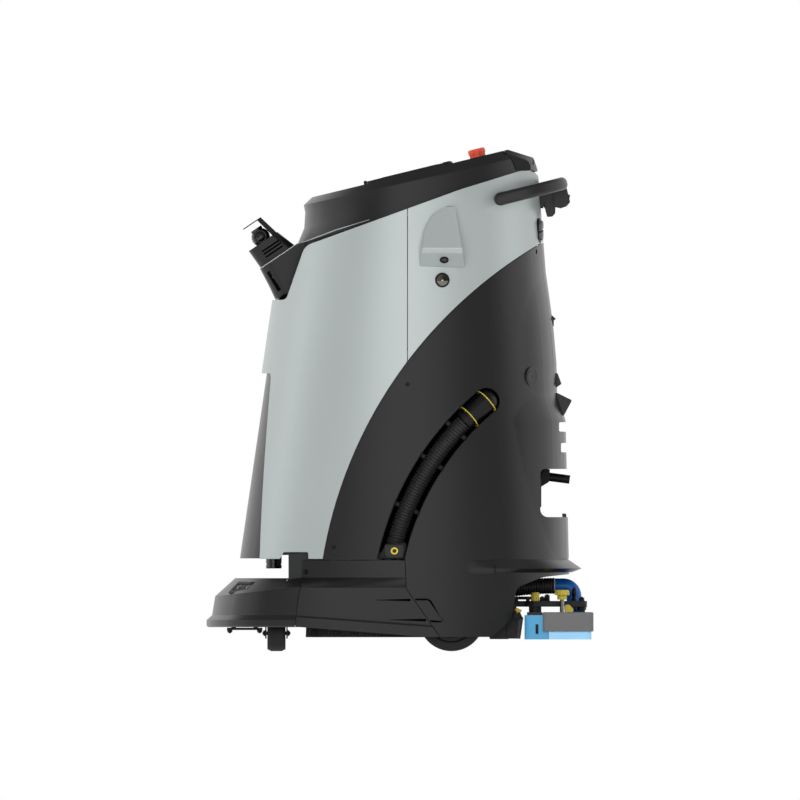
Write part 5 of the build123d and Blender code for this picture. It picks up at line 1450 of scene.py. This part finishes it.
@dataclass(frozen=True)
class OperatorSide:
    """What a cleaner touches: display, hatch, emergency stop and rear camera, with the deck's trim."""

    display: tuple = (-254.5, 0.0, 1018.5)
    display_run: tuple = (0.72, 0.0, 0.694)
    display_out: tuple = (-0.694, 0.0, 0.72)
    film: Tablet = Tablet(41, 158, 3, 0.25, 0.05)
    film_lift: float = 5.02
    bezel: tuple = (46.6, 168.6, 4)
    bezel_section: tuple = ((0.0, 0.0), (0.0, 0.2), (0.8, 1.0), (1.6, 1.0), (3.2, 0.2), (3.2, 0.0))
    bezel_lift: float = 4.3
    cheek: tuple = ((-23.0, 5.0), (22.0, 5.0), (-7.0, 19.6), (-12.0, 20.6), (-16.0, 19.4), (-23.0, 15.4))
    cheek_sides: tuple = (80.0, 84.2)
    cheek_edge: float = 1.2
    key: Turned = Turned(((2.6, 0), (4.4, 0), (4.4, 0.25), (2.6, 0.25)), 28, True)
    tiles: tuple = ((-4, -48, Tablet(26, 52, 3, 0.25, 0.05)), (-4, 10, Tablet(26, 44, 3, 0.25, 0.05)),
                    (10, 58, key), (-3, 58, key), (-16, 58, key),
                    (15, -10, Tablet(2.6, 120, 1.2, 0.25, 0.05)))
    tile_lift: float = 0.22
    pad_at: tuple = (-21.5, 4.95)
    pad: Tablet = Tablet(120, 170, 12, 0.5, 0.3)
    grip_at: tuple = (-97.5, 4.9)
    grip: Tablet = Tablet(16, 60, 6, 1.1, 0.5)
    deck_front: tuple = (182.0, 944.5)
    slope: float = 0.2432
    stop_at: tuple = (-162.0, 17.0)
    stop_cap: Turned = Turned(((AXIS, 0.35), (5.5, 0.35), (6.2, 0.05), (7.4, 0.05), (8.0, 0.4), (13.0, 0.3),
                               (14.4, -0.6), (AXIS, -1.5)))
    lens_at: tuple = (-352.0, 14.0, 942.0)
    lens_way: tuple = (-0.98, 0.0, -0.196)
    lens_bezel: Turned = Turned(((4.6, -3), (7.4, -3), (7.4, 0.2), (7.0, 0.6), (5.6, 0.5), (4.8, -0.6)),
                                40, True)
    lens: Turned = Turned(((AXIS, -0.2), (2.2, -0.5), (4.8, -1.6), (4.8, -3), (AXIS, -3)), 32)
    inlay: tuple = ((-229.0, 1030.5, 1033.0), (-234.0, 1020.5, 1031.3), (-241.5, 1003.0, 1028.7),
                    (-250.6, 998.0, 1025.7), (-261.0, 998.0, 1022.6), (-267.3, 999.0, 1018.0),
                    (-271.4, 1000.5, 1010.0), (-273.5, 1002.0, 1005.0))
    inlay_step: float = 2.0
    inlay_skin: tuple = (0.4, 0.8)
    gusset: Plate = Plate(((-296.0, 946.0), (-308.0, 946.0), (-308.0, 916.0), (-303.0, 917.5),
                           (-298.0, 926.0)), 6, 1.0)
    gusset_y: float = 11.0
    hook_block: Plate = Plate(((-292.0, 382.0), (-309.5, 381.5), (-309.5, 372.5), (-300.0, 367.0),
                               (-292.0, 366.0)), 18, 1.0)
    trim: tuple = ((206.0, 848.6, 0.9), (134.0, 876.0, 0.9), (64.0, 897.5, 0.5))
    trim_skin: tuple = (-0.3, 0.8)
    handle: tuple = (-207.0, 940.0)
    handle_tilt: float = 14.0
    handle_end: tuple = (2.2, 16.0, 13.75)
    handle_sides: tuple = (215.8, 240.2)
    handle_edge: float = 7.5

    def handle_cap(self, sign: int) -> Form:
        """Round end cap on one arm of the push handle."""
        middle, rear, radius = self.handle_end
        outline = [(rear, -radius), (rear, radius)]
        for turn in spread(math.pi / 2, 3 * math.pi / 2, 25):
            outline.append((middle + radius * math.cos(turn), radius * math.sin(turn)))
        low, high = self.handle_sides
        tilt = math.radians(self.handle_tilt)
        x, z = self.handle
        place = axes_at(mm(x, sign * low, z), (0, sign, 0), (-math.cos(tilt), 0, math.sin(tilt)))
        return slab(outline, high - low, place, self.handle_edge)

    def side_panel(self, sign: int) -> Form:
        """Dark panel let into one side of the console, over its bevel."""
        proud, under = self.inlay_skin
        columns = []
        for first, second in zip(self.inlay, self.inlay[1:]):
            count = max(1, round((first[0] - second[0]) / self.inlay_step))
            for i in range(count):
                x, low, high = (a + (b - a) * i / count for a, b in zip(first, second))
                columns.append((x, [(z, proud) for z in spread(low, high, 13)]))
        return skin_patch(Surface("console"), columns, sign, under)

    def deck_place(self, x: float, rise: float) -> Matrix:
        """Frame on the middle of the deck's slope with X up towards the rear."""
        up = Vector((self.slope, 0, 1)).normalized()
        z = self.deck_front[1] + (self.deck_front[0] - x) * self.slope
        return axes_at(mm(x, 0, z) + up * rise * MM, up, (-1, 0, self.slope))

    def bezel_form(self, place: Matrix) -> Form:
        """Frame with round corners and a sloping inner edge."""
        length, width, radius = self.bezel
        rings = []
        for inset, height in self.bezel_section:
            outline = rounded_outline(length - 2 * inset, width - 2 * inset, radius - inset)
            rings.append([place @ mm(x, y, height) for x, y in outline])
        return rings_to_form(rings, closed=True)

    def screen(self) -> None:
        """Display with its film, bezel, cheeks and lit tiles: two wide ones, round keys and a level bar."""
        place = axes_at(mm(*self.display), self.display_out, self.display_run)
        lift = place @ shift(0, 0, self.film_lift)
        add_piece("display_panel", self.film.at(lift), SCREEN_FILM)
        low, high = self.cheek_sides
        cheeks = []
        for start in (high, -low):
            wall = place @ shift(0, start, 0) @ Matrix.Rotation(math.pi / 2, 4, "X")
            cheeks.append(slab(self.cheek, high - low, wall, self.cheek_edge))
        add_piece("display_bezel", self.bezel_form(place @ shift(0, 0, self.bezel_lift)), BLACK_ABS)
        add_piece("display_cheeks", join(*cheeks), BUTTON_GREY)
        tiles = [tile.at(lift @ shift(x, y, self.tile_lift)) for x, y, tile in self.tiles]
        add_piece("display_tiles", join(*tiles), SCREEN_TILE)

    def build(self) -> None:
        """Makes the display, the hatch pad, the stop's cap, the console's trim and the rear lenses."""
        self.screen()
        pad, grip = self.pad.at(self.deck_place(*self.pad_at)), self.grip.at(self.deck_place(*self.grip_at))
        add_piece("hatch_pad", join(pad, grip), DECK_ABS, Body.HATCH)
        add_piece("e_stop_cap", self.stop_cap.at(self.deck_place(*self.stop_at)), STOP_RED, Body.E_STOP)
        add_piece("rear_hook_block", self.hook_block.at(0), BLACK_ABS)
        for side, sign in SIDES:
            add_piece(f"{side}_console_inlay", self.side_panel(sign), PANEL_TPE)
            add_piece(f"{side}_handle_cap", self.handle_cap(sign), GRIP_TPE)
            trim = ribbon(Surface("top_deck"), self.trim, sign, *self.trim_skin)
            add_piece(f"{side}_deck_trim", trim, GREY_PAINT)
            rib = self.gusset.at(sign * self.gusset_y)
            add_piece(f"{side}_camera_gusset", rib, DARK_ABS)
            x, y, z = self.lens_at
            place = axes_at(mm(x, sign * y, z), self.lens_way, UP)
            add_piece(f"{side}_rear_lens_bezel", self.lens_bezel.at(place), BLACK_ABS)
            add_piece(f"{side}_rear_lens", self.lens.at(place), LENS_GLASS)


@dataclass(frozen=True)
class RunningGear:
    """Hub caps of the drive wheels and fasteners of the casters."""

    hub: tuple = (-107.0, 241.8, 69.0)
    cap: Turned = Turned(((10.6, 0), (17, 0), (17.4, 2.6), (16, 3.6), (13, 3.8), (11, 3.0)), 40, True)
    bolt: Nut = Nut(6, 2.4)
    bolt_circle: float = 27.0
    bolt_sink: float = -2.0
    bolts: int = 6
    caster: tuple = (257.0, 190.0, 37.5)
    trail: float = 25.0
    nut: Nut = Nut(10, 3)
    nut_out: float = 23.4

    def build(self) -> None:
        """Makes the caps and nuts on both sides."""
        for side, sign in SIDES:
            x, y, z = self.hub
            place = axes_at(mm(x, sign * y, z), (0, sign, 0), UP)
            forms = [self.cap.at(place)]
            for i in range(self.bolts):
                turn = 2 * math.pi * (i + 0.5) / self.bolts
                across, rise = self.bolt_circle * math.cos(turn), self.bolt_circle * math.sin(turn)
                forms.append(self.bolt.at(place @ shift(across, rise, self.bolt_sink)))
            add_piece(f"{side}_hub_cap", join(*forms), ZINC, Body(f"{side}_wheel"))
            x, y, z = self.caster
            across = sign * y - self.trail
            nuts = [self.nut.at(axes_at(mm(x + way * self.nut_out, across, z), (way, 0, 0), UP))
                    for way in (-1, 1)]
            add_piece(f"{side}_caster_nuts", join(*nuts), BLACK_OXIDE, Body(f"{side}_swivel"))


def main() -> None:
    """Builds the studio, the finishes and every fine piece."""
    logging.basicConfig(level=logging.INFO, format="%(name)s: %(message)s")
    for assembly in (Studio(), Casing(), Hoses(), *(DiscBrush(side, sign) for side, sign in SIDES), Gaskets(),
                     CoverFittings(), Turret(), SideEyes(), DrainFittings(), NoseFittings(),
                     SqueegeeFittings(), FlapClamps(), OperatorSide(), RunningGear()):
        assembly.build()


if __name__ == "__main__":
    main()
